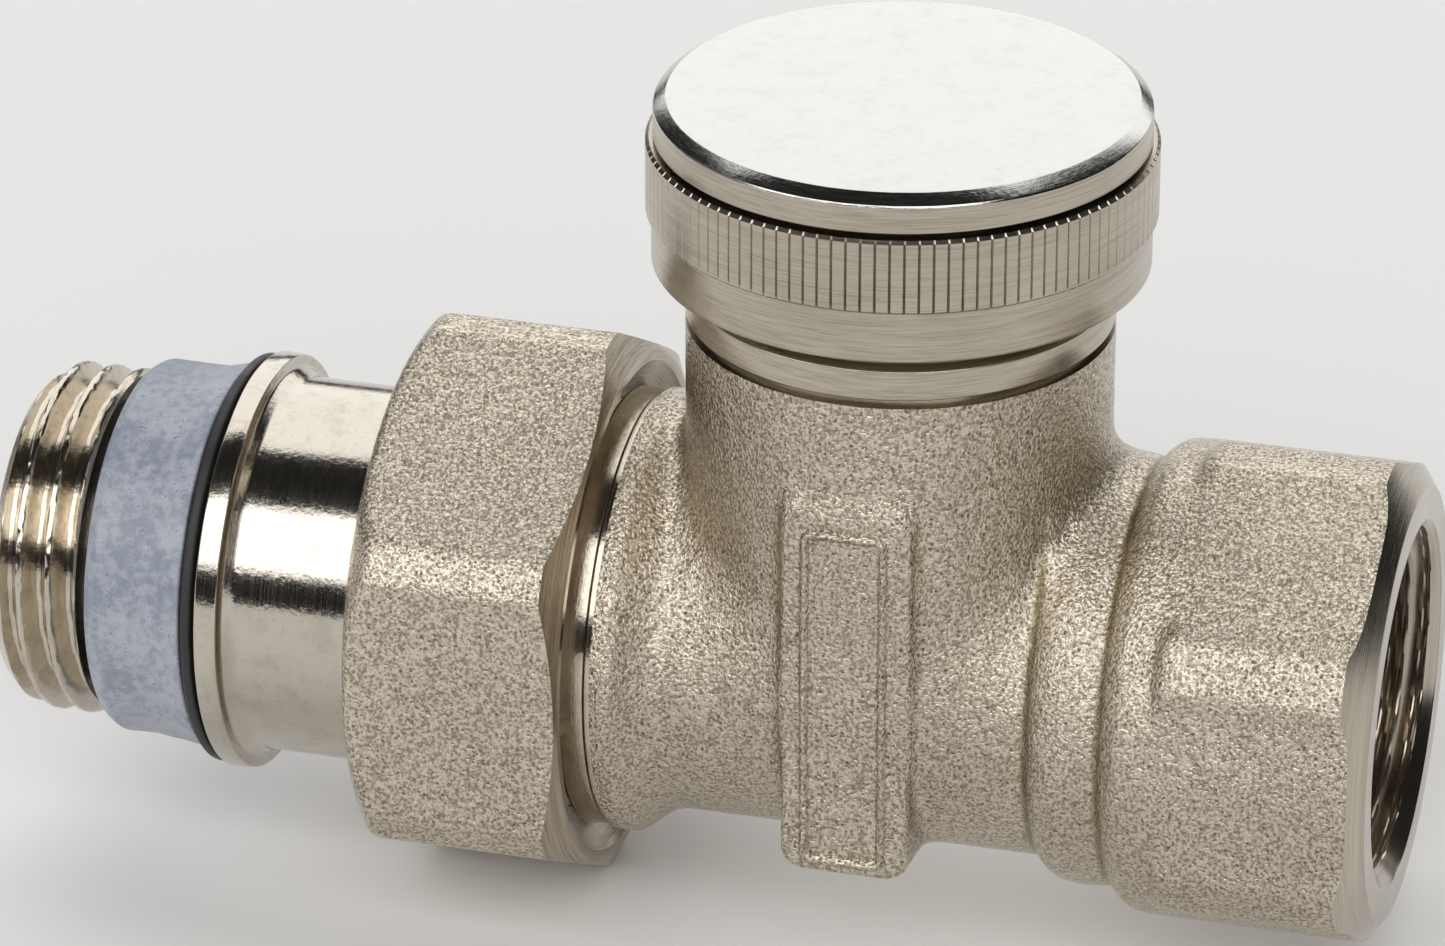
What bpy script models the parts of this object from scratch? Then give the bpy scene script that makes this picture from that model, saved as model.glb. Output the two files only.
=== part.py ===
"""Straight lockshield valve, DN15, with a self-sealing union tailpiece.

The origin is the centre of the female socket's mouth. +X points out of that mouth, along the
pipe axis, and +Z points up the spindle axis, towards the cap. Sizes are in millimetres, and MM
turns them into Blender's metres where a mesh or a place is made.

Stations along the pipe are distances from the spindle axis, so the union side is negative.
Heights are distances above the pipe axis.
"""

import math

import bmesh
import bpy

MM = 0.001

# Clearances
gap = 0.3  # between pieces that touch or run in one another
thread_gap = 0.35  # between the plain cylinders that stand for a male and a female thread
overrun = 1.0  # of a cutter past the surface that it opens
overlap = 0.5  # of two solids that are joined

# Spindle, the innermost turned piece: the sizes around it are built out from it
spindle_radius = 6.0
key_across_flats = 6.0
key_depth = 5.5
preset_radius = 2.3
plug_flange_rise = 1.4
plug_flange_height = 1.5
shut_off_travel = 3.2
seat_allowance = 0.2  # left between the plug and its seat at the end of that travel
spindle_stand = 1.4  # of the spindle's head over the neck
spindle_shoulder_stand = 0.2
spindle_neck_step = 1.0
ring_section = 1.4  # of every spindle and bonnet O-ring
spindle_ring_heights = (11.5, 7.5)  # over the bonnet's base
bonnet_ring_height = 3.6
clip_stand = 0.2
clip_depth = 0.8
clip_slot_height = 1.2
clip_height = 0.9
preset_joint_height = 4.0  # where the preset screw meets the throttle, over the plug's flange
preset_slot_depth = 1.2
preset_slot_width = 0.8
preset_groove_depth = 0.7
preset_groove_width = 1.2
preset_ring_depth = 3.5

# Seat and the chamber round the plug
seat_height = 1.5
seat_radius = 5.25
seat_seal_height = 1.7
retainer_wall = 0.8
retainer_lip = 0.9  # by which the retainer's head overlaps the seal from below
retainer_head = 1.5
seat_seal_overlap = 1.6  # of the seat seal beyond the seat's hole
throttle_height = 2.5
throttle_land = 0.6
throttle_taper = 1.4  # by which the cone narrows
throttle_clearance = 0.65
chamber_clearance = 1.0  # round the plug's flange
seat_land = 2.0  # of the chamber's floor round the seat
seat_well_end = 0.45  # over which the bore under the seat closes
rising_way_inside = 2.0  # of the inlet's way inside the chamber's wall
rising_way_height = 6.2
falling_way_top = (0.5, -4.8)  # station and height where the outlet's way meets that bore

# Bonnet, neck and cap
bonnet_wall = 2.7
bonnet_base = 10.3
bonnet_head_height = 2.1
bonnet_head_stand = 1.0  # of the hexagon's flats over the round part, across both sides
neck_wall = 3.05
neck_top = 29.0
neck_chamfer = 0.5
neck_foot = 3.0  # height where the neck starts to close inside the run
neck_foot_angle = 50
cap_thread_wall = 2.3
cap_thread_length = 4.6
undercut_height = 1.0
undercut_depth = 0.3
turned_ring_height = 1.9
ledge_height = 0.25
ledge_depth = 0.45
cap_gasket_height = 0.9
gasket_clearance = 1.0  # round the spindle
cap_plate = 2.0
cap_height = 10.1
cap_wall = 2.35
knurl_rise = 0.3
knurl_height = 4.5
skirt_height = 3.1
cap_groove = 0.45
cap_groove_depth = 0.3
cap_rim_inset = 0.1
cap_rim_round = 0.8
cap_lip = 0.3
cap_mouth = 0.5

# Run: the forged pipe, its two steps, the socket hexagon and its thread
pipe_radius = 11.4
socket_reach = 30.3
socket_hex_length = 12.3
socket_across_flats = 27.0
socket_corner_radius = 14.8
socket_chamfer = 1.6
socket_face_radius = 12.0
step_radii = (12.5, 13.9)
step_lengths = (4.5, 2.8)
step_round = 1.3
hex_lead = 0.8
hex_overlap = 0.4
hex_back_bevel = 0.2
socket_thread_radius = 9.3
socket_thread_length = 13.0
socket_countersink = 1.5
waterway_radius = 4.6
waterway_shoulder = 1.5
waterway_end = 2.0
way_overlap = 0.5
port_allowance = 0.6
inlet_end = 2.0

# Union: the body's male thread, the nut, and the tailpiece that the nut draws in
union_thread_radius = 12.35
shoulder_rise = 0.55
shoulder_round = 1.2
shoulder_arc = 40
shoulder_land = 0.1
bulge_length = 2.65
bulge_foot = 0.4
stub_chamfer = 0.7
nut_length = 14.5
nut_across_flats = 31.0
nut_corner_radius = 17.15
nut_chamfer = 1.9
nut_back_round = 1.6
nut_back_wall = 3.0
nut_face_step = 0.9  # of the nut's front face inside its flats
nut_countersink = 0.8
snap_ring_width = 1.2
snap_ring_depth = 0.9
tail_land = 0.7
tail_radius = 11.2
tail_bore_radius = 6.5
tail_key_depth = 15.0
tail_neck_length = 8.4
spigot_radius = 9.0
spigot_depth = 5.8
spigot_chamfer = 0.6
cone_ring_section = 1.5
slit_width = 2.0
slit_depth = 4.0
collar_width = 1.35
collar_radius = 12.5
collar_chamfer = (0.4, 0.3)
backing_width = 0.6
backing_radius = 12.3
seal_width = 6.2
seal_radius = 11.3
seal_flare = (0.4, 1.6)  # how much wider the seal is at its front, and over what length
seal_nose = ((0.3, 0.3), (0.8, 0.0))  # how much narrower its back end is, by distance from the end
seal_nose_length = 1.0
seal_core_radius = 9.0
tail_thread_radius = 10.3
tail_thread_length = 5.9
tail_chamfer = 0.8
tail_key_clearance = 0.2

# Lug: the flat pad on the front of the neck
lug_width = 7.6
lug_face = 12.9
lug_low, lug_high = -9.6, 14.2
lug_edge = 0.6
lug_rim = 1.4
lug_recess = 0.4

# Smoothness of the turned surfaces
fine_steps = 40
inner_steps = 24
ring_sides = 6

# Sizes that follow from the ones above
bonnet_bore = spindle_radius + gap
bonnet_radius = bonnet_bore + bonnet_wall
bonnet_across_flats = 2 * bonnet_radius + bonnet_head_stand
neck_bore = bonnet_radius + gap
neck_radius = neck_bore + neck_wall
neck_thread_radius = neck_bore + cap_thread_wall
cap_bore = neck_thread_radius + thread_gap
skirt_radius = cap_bore + cap_wall
knurl_radius = skirt_radius + knurl_rise
plug_flange_radius = spindle_radius + plug_flange_rise
chamber_radius = max(plug_flange_radius + chamber_clearance, seat_radius + seat_land)
seat_well = -(seat_height + seat_radius)
rising_way_top = (rising_way_inside - chamber_radius, rising_way_height)
bonnet_seat = bonnet_base - gap
bonnet_head_base = neck_top + gap
bonnet_top = bonnet_head_base + bonnet_head_height
cap_gasket_base = bonnet_top + gap
cap_ceiling = cap_gasket_base + cap_gasket_height + gap
cap_top = cap_ceiling + cap_plate
cap_base = cap_top - cap_height
seat_seal_base = seat_height + shut_off_travel + seat_allowance
flange_base = seat_seal_base + seat_seal_height + gap
spindle_shoulder = neck_top + spindle_shoulder_stand
spindle_top = neck_top + spindle_stand
spindle_bore = preset_radius + gap
retainer_bore = spindle_bore
seal_bore = retainer_bore + retainer_wall + gap
retainer_base = seat_seal_base - gap - retainer_head
preset_top = spindle_top - key_depth - gap
throttle_top = retainer_base - gap
throttle_radius = min(seat_radius - throttle_clearance, seal_bore + retainer_lip)

hex_start = socket_reach - socket_hex_length
step_starts = (hex_start - sum(step_lengths), hex_start - step_lengths[1])
nut_front = -(neck_radius + bulge_length)
nut_back = nut_front - nut_length
nut_bore = union_thread_radius + gap
tail_hole = tail_radius + gap
snap_ring_back = nut_back + nut_back_wall + gap
snap_ring_front = snap_ring_back + snap_ring_width
tail_step = snap_ring_front + tail_land
stub_end = tail_step + gap
spigot_end = stub_end + spigot_depth
collar_front = nut_back - tail_neck_length
collar_back = collar_front - collar_width
backing_back = collar_back - gap - backing_width
seal_back = backing_back - gap - seal_width
tail_thread_end = seal_back - gap
tail_end = tail_thread_end - tail_thread_length
tail_key_across_flats = 2 * tail_bore_radius + tail_key_clearance


def clear_scene():
    for obj in list(bpy.data.objects):
        bpy.data.objects.remove(obj, do_unlink=True)


def new_collection(name):
    made = bpy.data.collections.new(name)
    bpy.context.scene.collection.children.link(made)
    return made


def new_material(name, color, roughness, metallic):
    made = bpy.data.materials.new(name)
    made.use_nodes = True
    shader = made.node_tree.nodes["Principled BSDF"]
    shader.inputs["Base Color"].default_value = (*color, 1.0)
    shader.inputs["Roughness"].default_value = roughness
    shader.inputs["Metallic"].default_value = metallic
    return made


FORGED = ((0.55, 0.51, 0.44), 0.42, 1.0)
TURNED = ((0.70, 0.67, 0.61), 0.22, 1.0)
BRASS = ((0.72, 0.55, 0.27), 0.30, 1.0)
STEEL = ((0.60, 0.60, 0.60), 0.28, 1.0)
RUBBER = ((0.02, 0.02, 0.02), 0.65, 0.0)
SEAL = ((0.42, 0.44, 0.55), 0.50, 0.0)


def arc(centre, radius, start, end, count):
    """Points of an arc in the (radius, along) plane, from one angle in degrees to another."""
    points = []
    for i in range(count + 1):
        angle = math.radians(start + (end - start) * i / count)
        points.append((centre[0] + radius * math.cos(angle), centre[1] + radius * math.sin(angle)))
    return points


def place(obj, axis, collection):
    collection.objects.link(obj)
    obj.parent = axis


def turned(name, outline, axis, collection, steps=inner_steps, closed=True):
    """A turned piece. The outline lists (radius, along) points, down the outer side and, where it
    is closed, back up the inner side. An open outline starts and ends on the axis."""
    mesh = bpy.data.meshes.new(name)
    points = [(radius * MM, 0.0, along * MM) for radius, along in outline]
    edges = [(i, i + 1) for i in range(len(points) - 1)]
    if closed:
        edges.append((len(points) - 1, 0))
    mesh.from_pydata(points, edges, [])
    obj = bpy.data.objects.new(name, mesh)
    place(obj, axis, collection)
    screw = obj.modifiers.new("Turn", "SCREW")
    screw.axis = "Z"
    screw.steps = screw.render_steps = steps
    screw.use_merge_vertices = True
    screw.merge_threshold = 0.00001
    screw.use_smooth_shade = False
    return obj


def turned_ring(name, inner, outer, low, high, axis, collection, steps=inner_steps):
    outline = [(inner, high), (outer, high), (outer, low), (inner, low)]
    return turned(name, outline, axis, collection, steps)


def o_ring(name, inner, section, middle, axis, collection):
    centre = (inner + section / 2, middle)
    outline = arc(centre, section / 2, 90, -270, ring_sides)[:-1]
    return turned(name, outline, axis, collection)


def cylinder(name, radius, start, end, collection, sides=inner_steps):
    """A cutter between two points of the X-Z plane, each (station, height)."""
    mesh = bpy.data.meshes.new(name)
    length = math.dist(start, end)
    build = bmesh.new()
    bmesh.ops.create_cone(
        build, cap_ends=True, segments=sides, radius1=radius * MM, radius2=radius * MM, depth=length * MM
    )
    build.to_mesh(mesh)
    build.free()
    obj = bpy.data.objects.new(name, mesh)
    collection.objects.link(obj)
    middle = [(start[i] + end[i]) / 2 for i in range(2)]
    obj.location = (station(middle[0]), 0.0, middle[1] * MM)
    obj.rotation_euler = (0.0, math.atan2(end[0] - start[0], end[1] - start[1]), 0.0)
    return obj


def box(name, low, high, collection, round_by=0.0):
    """A box between two corners in millimetres, measured from the spindle axis."""
    mesh = bpy.data.meshes.new(name)
    build = bmesh.new()
    bmesh.ops.create_cube(build, size=1.0)
    size = [high[i] - low[i] for i in range(3)]
    bmesh.ops.scale(build, vec=[s * MM for s in size], verts=build.verts)
    build.to_mesh(mesh)
    build.free()
    obj = bpy.data.objects.new(name, mesh)
    collection.objects.link(obj)
    centre = [(high[i] + low[i]) / 2 for i in range(3)]
    obj.location = (station(centre[0]), centre[1] * MM, centre[2] * MM)
    if round_by:
        bevel = obj.modifiers.new("Edges", "BEVEL")
        bevel.width = round_by * MM
        bevel.segments = 2
    return obj


def combine(obj, other, operation):
    boolean = obj.modifiers.new(f"{operation.title()} {other.name}", "BOOLEAN")
    boolean.operation = operation
    boolean.solver = "EXACT"
    boolean.object = other


def settle(obj, finish):
    """Makes the modifiers' result the object's own mesh, smooth on round faces and sharp at its
    corners, and gives it its own material."""
    bpy.context.view_layer.update()
    graph = bpy.context.evaluated_depsgraph_get()
    mesh = bpy.data.meshes.new_from_object(obj.evaluated_get(graph))
    obj.modifiers.clear()
    obj.data = mesh
    mesh.name = obj.name
    mesh.shade_smooth()
    mesh.set_sharp_from_angle(angle=math.radians(32))
    mesh.materials.clear()
    mesh.materials.append(new_material(obj.name, *finish))


def hide_cutters(collection):
    for obj in collection.objects:
        obj.hide_render = True
        obj.display_type = "WIRE"


def station(along):
    """World X, in metres, of a station measured from the spindle axis."""
    return (along - socket_reach) * MM


def hexagon_radius(across_flats):
    return across_flats / 2 / math.cos(math.radians(30))


def hexagon(name, across_flats, low, high, axis, collection):
    corner = hexagon_radius(across_flats)
    outline = [(0.0, high), (corner, high), (corner, low), (0.0, low)]
    return turned(name, outline, axis, collection, steps=6, closed=False)


def solid(name, outline, axis, collection, steps=fine_steps):
    return turned(name, outline, axis, collection, steps, closed=False)


def make_body(pipe, stem, parts, cutters):
    """The forged body: run, neck, socket hexagon and lug, with its waterways."""
    step_one, step_two = step_starts
    radius_one, radius_two = step_radii
    shoulder = union_thread_radius + shoulder_rise
    hex_inside = hex_start + hex_lead
    run = [(0.0, hex_inside), (socket_across_flats / 2, hex_inside)]
    run += arc((radius_two - step_round, step_two + step_round), step_round, 0, -90, 3)
    run += arc((radius_one - step_round, step_one + step_round), step_round, 0, -90, 3)
    run += [(pipe_radius, step_one), (pipe_radius, nut_front + bulge_length + bulge_foot)]
    round_centre = (shoulder - shoulder_round, nut_front + gap + shoulder_round + shoulder_land)
    run += arc(round_centre, shoulder_round, shoulder_arc, 0, 3)
    run += [(shoulder, nut_front + gap), (union_thread_radius, nut_front + gap)]
    run += [(union_thread_radius, stub_end + stub_chamfer)]
    run += [(union_thread_radius - stub_chamfer, stub_end)]
    run += [(0.0, stub_end)]
    body = solid("valve_body", run, pipe, parts)

    ring_top = neck_top - cap_thread_length - undercut_height
    ring_base = ring_top - turned_ring_height
    skin_top = ring_base - ledge_height
    neck = [(0.0, neck_top), (neck_thread_radius - neck_chamfer, neck_top)]
    neck += [(neck_thread_radius, neck_top - neck_chamfer)]
    neck += [(neck_thread_radius, ring_top + undercut_height)]
    neck += [(neck_thread_radius - undercut_depth, ring_top + undercut_height)]
    neck += [(neck_thread_radius - undercut_depth, ring_top), (neck_radius, ring_top)]
    neck += [(neck_radius, ring_base), (neck_radius - ledge_depth, ring_base)]
    neck += [(neck_radius - ledge_depth, skin_top), (neck_radius, skin_top)]
    neck += arc((0.0, neck_foot), neck_radius, 0, -neck_foot_angle, 4)
    neck += [(0.0, neck_foot - neck_radius * math.sin(math.radians(neck_foot_angle)))]
    combine(body, solid("neck", neck, stem, cutters), "UNION")

    hex_back = hex_start - hex_overlap
    prism = hexagon("socket_hexagon", socket_across_flats, hex_back, socket_reach, pipe, cutters)
    flat = socket_across_flats / 2 - hex_back_bevel
    envelope = [(0.0, socket_reach), (socket_face_radius, socket_reach)]
    envelope += [(socket_corner_radius, socket_reach - socket_chamfer)]
    envelope += [(socket_corner_radius, hex_inside), (flat, hex_back), (0.0, hex_back)]
    combine(prism, solid("socket_envelope", envelope, pipe, cutters), "INTERSECT")
    combine(body, prism, "UNION")

    half = lug_width / 2
    lug = box("lug", (-half, -lug_face, lug_low), (half, -pipe_radius / 2, lug_high), cutters, lug_edge)
    panel_low = (-half + lug_rim, -lug_face - overrun, lug_low + lug_rim)
    panel_high = (half - lug_rim, -lug_face + lug_recess, lug_high - lug_rim)
    combine(lug, box("lug_panel", panel_low, panel_high, cutters), "DIFFERENCE")
    combine(body, lug, "UNION")

    mouth = socket_thread_radius + socket_countersink
    floor = socket_reach - socket_thread_length
    socket = [(0.0, socket_reach + overrun), (mouth, socket_reach + overrun), (mouth, socket_reach)]
    socket += [(socket_thread_radius, socket_reach - socket_countersink)]
    socket += [(socket_thread_radius, floor), (waterway_radius + waterway_shoulder, floor - waterway_end)]
    socket += [(0.0, floor - waterway_end)]
    combine(body, solid("socket_cut", socket, pipe, cutters), "DIFFERENCE")

    bore = spigot_radius + gap
    port = waterway_radius + port_allowance
    inlet = [(0.0, spigot_end + inlet_end), (port, spigot_end + inlet_end), (bore, spigot_end + gap)]
    inlet += [(bore, stub_end - overrun), (0.0, stub_end - overrun)]
    combine(body, solid("inlet_cut", inlet, pipe, cutters), "DIFFERENCE")

    stack = [(0.0, neck_top + overrun), (neck_bore, neck_top + overrun), (neck_bore, bonnet_seat)]
    stack += [(chamber_radius, bonnet_seat), (chamber_radius, seat_height)]
    stack += [(seat_radius, seat_height), (seat_radius, seat_well), (0.0, seat_well - seat_well_end)]
    combine(body, solid("stack_cut", stack, stem, cutters), "DIFFERENCE")

    ways = (
        ("rising_way", port, spigot_end + way_overlap, rising_way_top),
        ("falling_way", waterway_radius, floor - way_overlap, falling_way_top),
    )
    for name, radius, start, top in ways:
        combine(body, cylinder(name, radius, (start, 0.0), top, cutters), "DIFFERENCE")
    settle(body, FORGED)


def make_union_nut(pipe, parts, cutters):
    """The hexagon nut that draws the tailpiece onto the body."""
    nut = hexagon("union_nut", nut_across_flats, nut_back, nut_front, pipe, parts)
    face = nut_across_flats / 2 - nut_face_step
    envelope = [(0.0, nut_front), (face, nut_front), (nut_corner_radius, nut_front - nut_chamfer)]
    round_centre = (nut_corner_radius - nut_back_round, nut_back + nut_back_round)
    envelope += arc(round_centre, nut_back_round, 0, -90, 3)
    envelope += [(0.0, nut_back)]
    combine(nut, solid("nut_envelope", envelope, pipe, cutters), "INTERSECT")
    mouth = nut_bore + nut_countersink
    hole = [(0.0, nut_front + overrun), (mouth, nut_front + overrun), (mouth, nut_front)]
    hole += [(nut_bore, nut_front - nut_countersink), (nut_bore, nut_back + nut_back_wall)]
    hole += [(tail_hole, nut_back + nut_back_wall), (tail_hole, nut_back - overrun)]
    hole += [(0.0, nut_back - overrun)]
    combine(nut, solid("nut_cut", hole, pipe, cutters), "DIFFERENCE")
    settle(nut, FORGED)


def make_tailpiece(pipe, parts, cutters):
    """The tailpiece: spigot and O-ring groove, plain neck, collar, seal seat and male thread."""
    groove = spigot_radius + gap - cone_ring_section - gap / 2
    middle = (tail_step + spigot_end) / 2
    half = cone_ring_section / 2 + gap / 2
    outline = [(tail_bore_radius, spigot_end), (spigot_radius - spigot_chamfer, spigot_end)]
    outline += [(spigot_radius, spigot_end - spigot_chamfer), (spigot_radius, middle + half)]
    outline += [(groove, middle + half), (groove, middle - half), (spigot_radius, middle - half)]
    outline += [(spigot_radius, tail_step), (tail_radius, tail_step), (tail_radius, snap_ring_front)]
    outline += [(tail_radius - snap_ring_depth, snap_ring_front)]
    outline += [(tail_radius - snap_ring_depth, snap_ring_back - gap)]
    outline += [(tail_radius, snap_ring_back - gap), (tail_radius, collar_front)]
    outline += [(collar_radius - collar_chamfer[0], collar_front)]
    outline += [(collar_radius, collar_front - collar_chamfer[1])]
    outline += [(collar_radius, collar_back), (seal_core_radius, collar_back)]
    outline += [(seal_core_radius, tail_thread_end), (tail_thread_radius, tail_thread_end)]
    outline += [(tail_thread_radius, tail_end + tail_chamfer)]
    outline += [(tail_thread_radius - tail_chamfer, tail_end)]
    outline += [(tail_bore_radius, tail_end)]
    tail = turned("tailpiece", outline, pipe, parts, steps=fine_steps)
    key_end = tail_end + tail_key_depth
    key = hexagon("tail_key", tail_key_across_flats, tail_end - overrun, key_end, pipe, cutters)
    combine(tail, key, "DIFFERENCE")
    settle(tail, TURNED)


def make_tail_rings(pipe, parts, cutters):
    """What is fitted on the tailpiece: its thread seal, the ring behind it, the O-ring and the
    split ring that the nut pushes against."""
    core = seal_core_radius + gap
    low, high = seal_back, seal_back + seal_width
    flare, flare_length = seal_flare
    seal = [(core, high), (seal_radius + flare, high), (seal_radius, high - flare_length)]
    seal += [(seal_radius, low + seal_nose_length)]
    seal += [(seal_radius - narrower, low + along) for narrower, along in seal_nose]
    seal += [(core, low)]
    settle(turned("thread_seal_ring", seal, pipe, parts, steps=fine_steps), SEAL)
    backing_front = backing_back + backing_width
    backing = turned_ring(
        "seal_backing_ring", core, backing_radius, backing_back, backing_front, pipe, parts, fine_steps
    )
    settle(backing, RUBBER)
    inner = spigot_radius + gap / 2 - cone_ring_section
    middle = (tail_step + spigot_end) / 2
    ring = o_ring("spigot_o_ring", inner + gap / 2, cone_ring_section - gap / 2, middle, pipe, parts)
    settle(ring, RUBBER)
    inner = tail_radius - snap_ring_depth + gap
    outer, high = nut_bore - gap, snap_ring_front - gap
    snap = turned_ring("nut_snap_ring", inner, outer, snap_ring_back, high, pipe, parts)
    slit_low = (snap_ring_back - overrun, -slit_width / 2, -nut_bore - overrun)
    slit_high = (snap_ring_front + overrun, slit_width / 2, slit_depth - nut_bore)
    cut = box("snap_ring_slit", slit_low, slit_high, cutters)
    combine(snap, cut, "DIFFERENCE")
    settle(snap, STEEL)


def make_bonnet(stem, parts, cutters):
    """The insert that closes the neck and guides the spindle."""
    ring_groove = bonnet_radius - ring_section + gap / 2
    middle = bonnet_base + bonnet_ring_height
    half = ring_section / 2 + gap / 2
    outline = [(bonnet_bore, bonnet_head_base), (bonnet_radius, bonnet_head_base)]
    outline += [(bonnet_radius, middle + half), (ring_groove, middle + half)]
    outline += [(ring_groove, middle - half), (bonnet_radius, middle - half)]
    outline += [(bonnet_radius, bonnet_base), (bonnet_bore, bonnet_base)]
    bonnet = turned("bonnet", outline, stem, parts)
    head = hexagon("bonnet_head", bonnet_across_flats, bonnet_head_base, bonnet_top, stem, cutters)
    plug_cut = [(0.0, bonnet_top + overrun), (bonnet_bore, bonnet_top + overrun)]
    plug_cut += [(bonnet_bore, bonnet_head_base - overlap), (0.0, bonnet_head_base - overlap)]
    combine(head, solid("bonnet_head_cut", plug_cut, stem, cutters, inner_steps), "DIFFERENCE")
    combine(bonnet, head, "UNION")
    clip = bonnet_bore + clip_depth
    clip_low = spindle_shoulder + clip_stand
    clip_high = clip_low + clip_slot_height
    slot = turned_ring("clip_slot", bonnet_bore - overlap, clip, clip_low, clip_high, stem, cutters)
    combine(bonnet, slot, "DIFFERENCE")
    settle(bonnet, BRASS)
    inner = ring_groove + gap / 2
    settle(o_ring("bonnet_o_ring", inner, neck_bore - gap / 2 - inner, middle, stem, parts), RUBBER)
    inner = spindle_radius - 2 * gap
    high = clip_low + clip_height
    clip_ring = turned_ring(
        "spindle_retaining_ring", inner, clip - gap, clip_low + gap, high, stem, parts
    )
    settle(clip_ring, STEEL)


def make_spindle(stem, parts, cutters):
    """The hollow shut-off spindle, with a hexagon key socket in its head."""
    groove = spindle_radius - ring_section + gap / 2
    half = ring_section / 2 + gap / 2
    middles = [bonnet_base + height for height in spindle_ring_heights]
    neck = spindle_radius - spindle_neck_step
    outline = [(spindle_bore, spindle_top), (neck, spindle_top), (neck, spindle_shoulder)]
    outline += [(spindle_radius, spindle_shoulder)]
    for middle in middles:
        outline += [(spindle_radius, middle + half), (groove, middle + half)]
        outline += [(groove, middle - half), (spindle_radius, middle - half)]
    outline += [(spindle_radius, flange_base + plug_flange_height)]
    outline += [(plug_flange_radius, flange_base + plug_flange_height)]
    outline += [(plug_flange_radius, flange_base), (spindle_bore, flange_base)]
    spindle = turned("shutoff_spindle", outline, stem, parts)
    key_floor = spindle_top - key_depth
    key = hexagon("key_socket", key_across_flats, key_floor, spindle_top + overrun, stem, cutters)
    combine(spindle, key, "DIFFERENCE")
    settle(spindle, BRASS)
    inner = groove + gap / 2
    for name, middle in zip(("spindle_o_ring_upper", "spindle_o_ring_lower"), middles):
        settle(o_ring(name, inner, bonnet_bore - gap / 2 - inner, middle, stem, parts), RUBBER)


def make_plug(stem, parts):
    """The seat seal under the spindle's flange and the shouldered ring that holds it there."""
    outer = seat_radius + seat_seal_overlap
    high = seat_seal_base + seat_seal_height
    seal = turned_ring("seat_seal", seal_bore, outer, seat_seal_base, high, stem, parts)
    settle(seal, RUBBER)
    head = seal_bore + retainer_lip
    hub = seal_bore - gap
    hub_top = flange_base - gap
    outline = [(retainer_bore, hub_top), (hub, hub_top), (hub, retainer_base + retainer_head)]
    outline += [(head, retainer_base + retainer_head), (head, retainer_base)]
    outline += [(retainer_bore, retainer_base)]
    settle(turned("seal_retainer", outline, stem, parts), BRASS)


def make_preset(stem, parts, cutters):
    """The preset screw in the spindle and the throttle cone that it moves."""
    joint = flange_base + preset_joint_height
    base = joint + gap
    outline = [(0.0, preset_top), (preset_radius, preset_top), (preset_radius, base), (0.0, base)]
    screw = solid("preset_screw", outline, stem, parts, inner_steps)
    ring_middle = preset_top - preset_ring_depth
    low = ring_middle - preset_groove_width / 2
    high = ring_middle + preset_groove_width / 2
    neck = preset_radius - preset_groove_depth
    outer = preset_radius + overlap
    combine(screw, turned_ring("preset_groove", neck, outer, low, high, stem, cutters), "DIFFERENCE")
    reach = preset_radius + overrun
    slot_low = (-reach, -preset_slot_width / 2, preset_top - preset_slot_depth)
    slot_high = (reach, preset_slot_width / 2, preset_top + overrun)
    combine(screw, box("preset_slot", slot_low, slot_high, cutters), "DIFFERENCE")
    settle(screw, STEEL)
    inner = neck + gap / 2
    settle(o_ring("preset_o_ring", inner, spindle_bore - gap / 2 - inner, ring_middle, stem, parts), RUBBER)
    throttle_base = throttle_top - throttle_height
    cone = [(0.0, joint), (preset_radius, joint), (preset_radius, throttle_top)]
    cone += [(throttle_radius, throttle_top), (throttle_radius, throttle_top - throttle_land)]
    cone += [(throttle_radius - throttle_taper, throttle_base), (0.0, throttle_base)]
    settle(solid("throttle_cone", cone, stem, parts, inner_steps), BRASS)


def make_cap(stem, parts, cutters):
    """The turned cap with its knurled band, and the flat gasket under its plate."""
    band_low = cap_base + skirt_height
    band_high = band_low + knurl_height
    groove_high = band_high + cap_groove
    rim = skirt_radius - cap_rim_inset
    groove = rim - cap_groove_depth
    outline = [(0.0, cap_top), (rim - cap_rim_round - cap_rim_inset, cap_top)]
    outline += arc((rim - cap_rim_round, cap_top - cap_rim_round), cap_rim_round, 60, 0, 2)
    outline += [(rim, groove_high), (groove, groove_high), (groove, band_high)]
    outline += [(knurl_radius, band_high), (knurl_radius, band_low), (skirt_radius, band_low)]
    outline += [(skirt_radius, cap_base + cap_lip), (skirt_radius - cap_lip, cap_base)]
    outline += [(cap_bore + cap_mouth, cap_base), (cap_bore, cap_base + cap_mouth)]
    outline += [(cap_bore, cap_ceiling), (0.0, cap_ceiling)]
    settle(solid("cap", outline, stem, parts), TURNED)
    inner, outer = spindle_radius + gasket_clearance, cap_bore - gap
    high = cap_gasket_base + cap_gasket_height
    settle(turned_ring("cap_gasket", inner, outer, cap_gasket_base, high, stem, parts), RUBBER)


def main():
    clear_scene()
    parts = new_collection("lockshield_valve")
    cutters = new_collection("cutters")
    pipe = bpy.data.objects.new("pipe_axis", None)
    pipe.rotation_euler = (0.0, math.radians(90), 0.0)
    stem = bpy.data.objects.new("spindle_axis", None)
    for empty in (pipe, stem):
        empty.location = (station(0.0), 0.0, 0.0)
        parts.objects.link(empty)
    make_body(pipe, stem, parts, cutters)
    make_union_nut(pipe, parts, cutters)
    make_tailpiece(pipe, parts, cutters)
    make_tail_rings(pipe, parts, cutters)
    make_bonnet(stem, parts, cutters)
    make_spindle(stem, parts, cutters)
    make_plug(stem, parts)
    make_preset(stem, parts, cutters)
    make_cap(stem, parts, cutters)
    hide_cutters(cutters)


main()
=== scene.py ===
"""The looks of the straight lockshield valve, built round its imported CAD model.

Sizes are in millimetres and measured from the point where the spindle axis crosses the pipe
axis: stations along X (the pipe), heights along Z (the spindle). to_world() turns them into the
frame's metres.
"""

import math

import bpy
import numpy as np
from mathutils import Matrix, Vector, noise


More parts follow.
